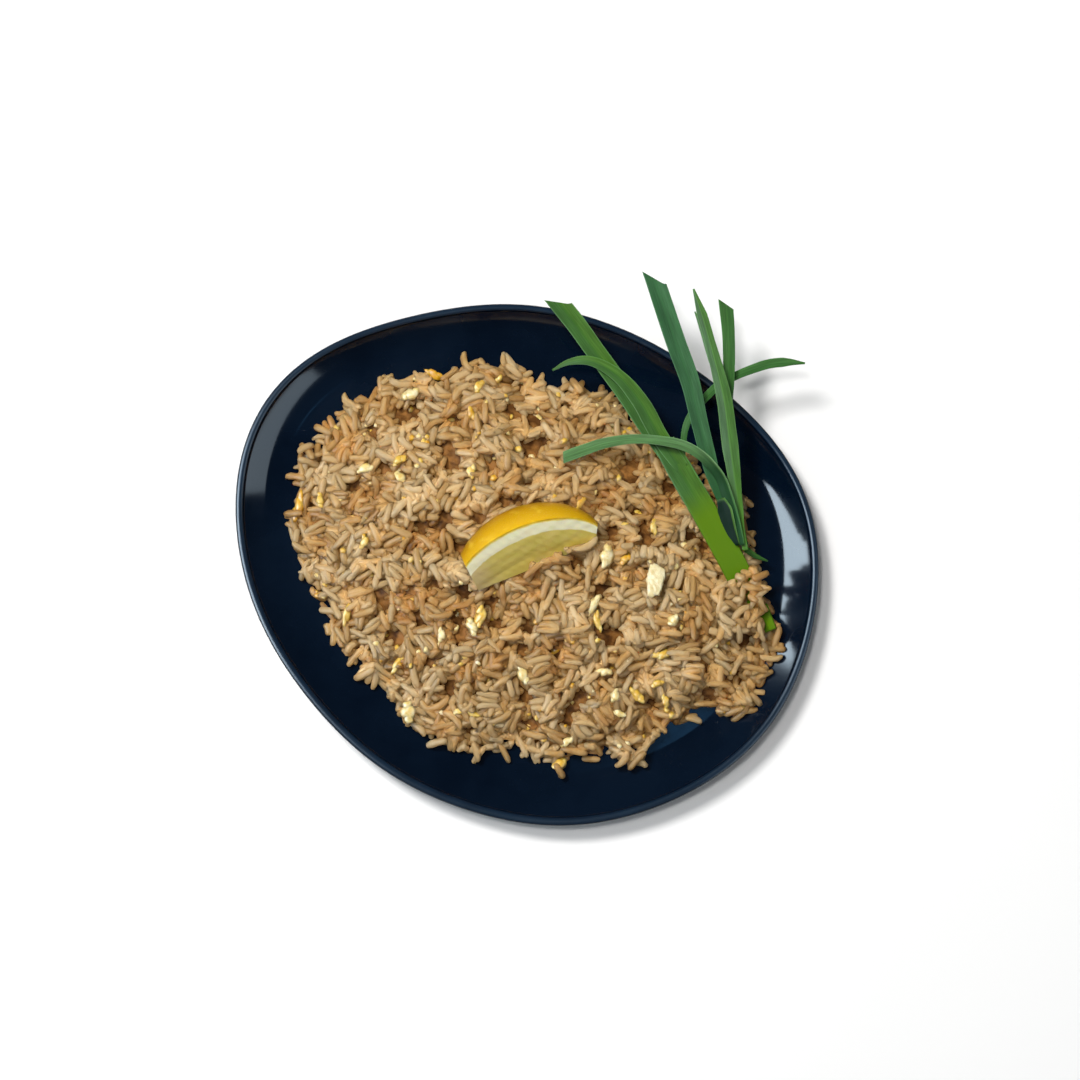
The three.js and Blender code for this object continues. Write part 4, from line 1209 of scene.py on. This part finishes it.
def grain_finish(name, dark, middle, pale):
    material, tree, skin = new_finish(
        name, Subsurface_Weight=1.0, Subsurface_Scale=0.006, Subsurface_Radius=(1.0, 0.85, 0.7),
        Specular_IOR_Level=0.14,
    )
    skin.subsurface_method = "BURLEY"
    place = node(tree, "TexCoord").outputs["Object"]
    soy = noise(tree, place, 420.0, 3.0, 0.6)
    fine_soy = spread(tree, soy, 0.25, 0.75, -0.2, 0.2)
    broad_soy = spread(tree, noise(tree, place, 75.0), 0.3, 0.7, -0.3, 0.3)
    # The mark brings each grain's random tone together with painted shade deeper in the heap and a painted
    # highlight along its top.
    shade = combined(tree, "ADD", marked(tree, "tone_and_painted_light"), combined(tree, "ADD", fine_soy, broad_soy))
    colour = ramp(tree, shade, [(0.05, dark), (0.5, middle), (0.95, pale)])
    tree.links.new(colour, skin.inputs["Base Color"])
    tree.links.new(spread(tree, soy, 0.3, 0.7, 0.38, 0.52), skin.inputs["Roughness"])
    relief = emboss(tree, skin, noise(tree, place, 1500.0), 0.25, 0.0002)
    sticky = node(tree, "Bevel", {"samples": 3}, Radius=0.0006)  # starch rounds off where grains meet
    tree.links.new(sticky.outputs[0], relief.inputs["Normal"])
    return material


def grain_piece(kind, rows, look):
    shape, faces, skin = grain_template()
    rows = np.array(rows)
    x, y, z, yaw, slope, half, thick = rows.T[:, :, None]
    wide = thick * draw.uniform(*GRAIN_WIDE, len(rows))[:, None]
    flat = thick * draw.uniform(*GRAIN_FLAT, len(rows))[:, None]
    bow = draw.normal(0, GRAIN_BOW, len(rows))[:, None] * half
    lean = draw.uniform(0, 2 * math.pi, len(rows))[:, None]
    taper = 1 + draw.uniform(-GRAIN_TAPER, GRAIN_TAPER, len(rows))[:, None] * shape[:, 0]
    taper = taper + 0.06 * np.sin(shape[:, 0] * 3.5 + 2 * lean)
    run = shape[:, 0] * half
    bent = bow * (shape[:, 0] ** 2 - 0.4)
    side = (shape[:, 1] * np.cos(lean) - shape[:, 2] * np.sin(lean)) * wide * taper + bent
    rise = (shape[:, 1] * np.sin(lean) + shape[:, 2] * np.cos(lean)) * flat * taper
    pitch = np.arctan(slope)
    ahead = run * np.cos(pitch) - rise * np.sin(pitch)
    above = run * np.sin(pitch) + rise * np.cos(pitch)
    px = x + ahead * np.cos(yaw) - side * np.sin(yaw)
    py = y + ahead * np.sin(yaw) + side * np.cos(yaw)
    points = np.stack([px, py, z + above], axis=2).reshape(-1, 3)
    all_faces = []
    for k in range(len(rows)):
        start = k * len(shape)
        all_faces += [tuple(start + corner for corner in face) for face in faces]
    below = heap_top(x, y) - z - thick
    covered_by = level[cell_of(x, y)] - z - thick
    tone_and_painted_light = draw.uniform(*GRAIN_TONE, len(rows))[:, None]
    # Painted shade: darker the deeper a grain lies and the more grains cover it.
    tone_and_painted_light = tone_and_painted_light - SHADE_BELOW * np.clip(below, 0, 5) - SHADE_COVERED * np.clip(covered_by, 0, 3)
    # Painted highlight: each grain is paler along its top.
    marks = {"tone_and_painted_light": (tone_and_painted_light + RIDGE_HIGHLIGHT * rise / flat - 0.03).reshape(-1)}
    piece = make_piece(f"rice_grains_{kind}", points, all_faces, "rice", look, marks)
    across = math.ceil(math.sqrt(len(rows)))
    cell = np.stack([np.arange(len(rows)) % across, np.arange(len(rows)) // across], axis=1)
    layer = piece.data.uv_layers.new(name="OFBake")
    places = (cell[:, None, :] + 0.08 + 0.84 * skin[None]) / across
    layer.data.foreach_set("uv", places.reshape(-1))


# The kinds from the palest to the most browned, each with its dark, middle and pale tones.
GRAIN_KINDS = {
    "pale": ((176, 136, 79), (184, 150, 98), (187, 162, 120)),
    "cream": ((172, 130, 71), (181, 144, 89), (184, 156, 111)),
    "tan": ((164, 119, 63), (175, 136, 80), (179, 149, 101)),
    "browned": ((151, 106, 54), (166, 124, 69), (172, 139, 88)),
}
grain_x, grain_y = np.array(grains)[:, :2].T
browning = np.sin(grain_x / 8 + 1.5 * np.sin(grain_y / 11))
browning = browning * np.sin(grain_y / 7 + 1.3 * np.sin(grain_x / 13))
browning = browning + draw.normal(0, 0.45, len(grains))
kind_number = browning.argsort().argsort() * len(GRAIN_KINDS) // len(grains)
for number, (kind, tones) in enumerate(GRAIN_KINDS.items()):
    rows = [grain for grain, chosen in zip(grains, kind_number == number) if chosen]
    grain_piece(kind, rows, grain_finish(f"rice_{kind}", *tones))

# ================================================================ table, light and camera
# A plain white table top under two soft lamps at the back left and a dim ceiling. The glaze also mirrors
# a window low on the left, a dim one on the right and a patch of sky. The camera hangs straight over.
TABLE_SIZE = 6000
TABLE_WHITE = [(0.3, (236, 236, 236)), (0.7, (240, 240, 240))]
WARM = (1.0, 0.985, 0.965)
NEUTRAL = (1.0, 0.99, 0.975)
DAYLIGHT = (0.72, 0.88, 1.0)
SKY_BLUE = (0.15, 0.5, 1.0)
CAMERA_AIM = (5.0, 8.5)
CAMERA_HEIGHT = 1226
CAMERA_LENS = 95.52


def table_finish():
    material, tree, skin = new_finish("white_table", Roughness=0.6)
    place = node(tree, "TexCoord").outputs["Object"]
    tree.links.new(ramp(tree, noise(tree, place, 3.0), TABLE_WHITE), skin.inputs["Base Color"])
    return material


half_table = TABLE_SIZE / 2000
table_mesh = bpy.data.meshes.new("table")
table_corners = [(-half_table, -half_table, 0), (half_table, -half_table, 0), (half_table, half_table, 0)]
table_mesh.from_pydata([*table_corners, (-half_table, half_table, 0)], [], [(0, 1, 2, 3)])
table_mesh.materials.append(table_finish())
table = bpy.data.objects.new("table", table_mesh)
bpy.context.scene.collection.objects.link(table)
table.location.z = -0.0002


def lamp(name, place, aim, size, power, colour, shines=True, lights=True):
    light = bpy.data.lights.new(name, "AREA")
    light.shape = "RECTANGLE"
    light.size, light.size_y = size
    light.energy = power
    light.color = colour
    holder = bpy.data.objects.new(name, light)
    holder.location = place
    holder.rotation_euler = (Vector(aim) - Vector(place)).to_track_quat("-Z", "Y").to_euler()
    holder.visible_glossy = shines
    holder.visible_diffuse = lights
    bpy.context.scene.collection.objects.link(holder)


lamp("overhead", (-0.23, 0.28, 2.0), (0, 0, 0), (0.22, 0.22), 13.5, WARM, shines=False)
lamp("side", (-0.77, 0.92, 2.0), (0, 0, 0), (0.45, 0.45), 50, WARM, shines=False)
lamp("ceiling", (0, 0, 2.6), (0, 0, 0), (3.0, 3.0), 9, NEUTRAL, shines=False)
lamp("skylight", (0.19, -0.215, 2.4), (0.19, -0.215, 0), (0.14, 0.08), 0.11, SKY_BLUE, lights=False)
lamp("window", (-0.8, -0.105, 1.03), (0, -0.105, 1.03), (0.79, 1.45), 105, DAYLIGHT, lights=False)
lamp("far_window", (0.8, -0.61, 0.68), (0, -0.61, 0.68), (1.17, 0.85), 17, DAYLIGHT, lights=False)

world = bpy.data.worlds.new("studio")
world.use_nodes = True
bpy.context.scene.world = world
world.node_tree.nodes["Background"].inputs["Color"].default_value = (0.95, 0.97, 1.0, 1)
world.node_tree.nodes["Background"].inputs["Strength"].default_value = 0.07

camera_data = bpy.data.cameras.new("camera")
camera_data.lens = CAMERA_LENS
camera_data.clip_start = 0.01
camera = bpy.data.objects.new("camera", camera_data)
camera.location = (np.array([*CAMERA_AIM, CAMERA_HEIGHT]) + PLATE_MIDDLE) / 1000
bpy.context.scene.collection.objects.link(camera)
bpy.context.scene.camera = camera
bpy.context.scene.view_settings.view_transform = "Standard"
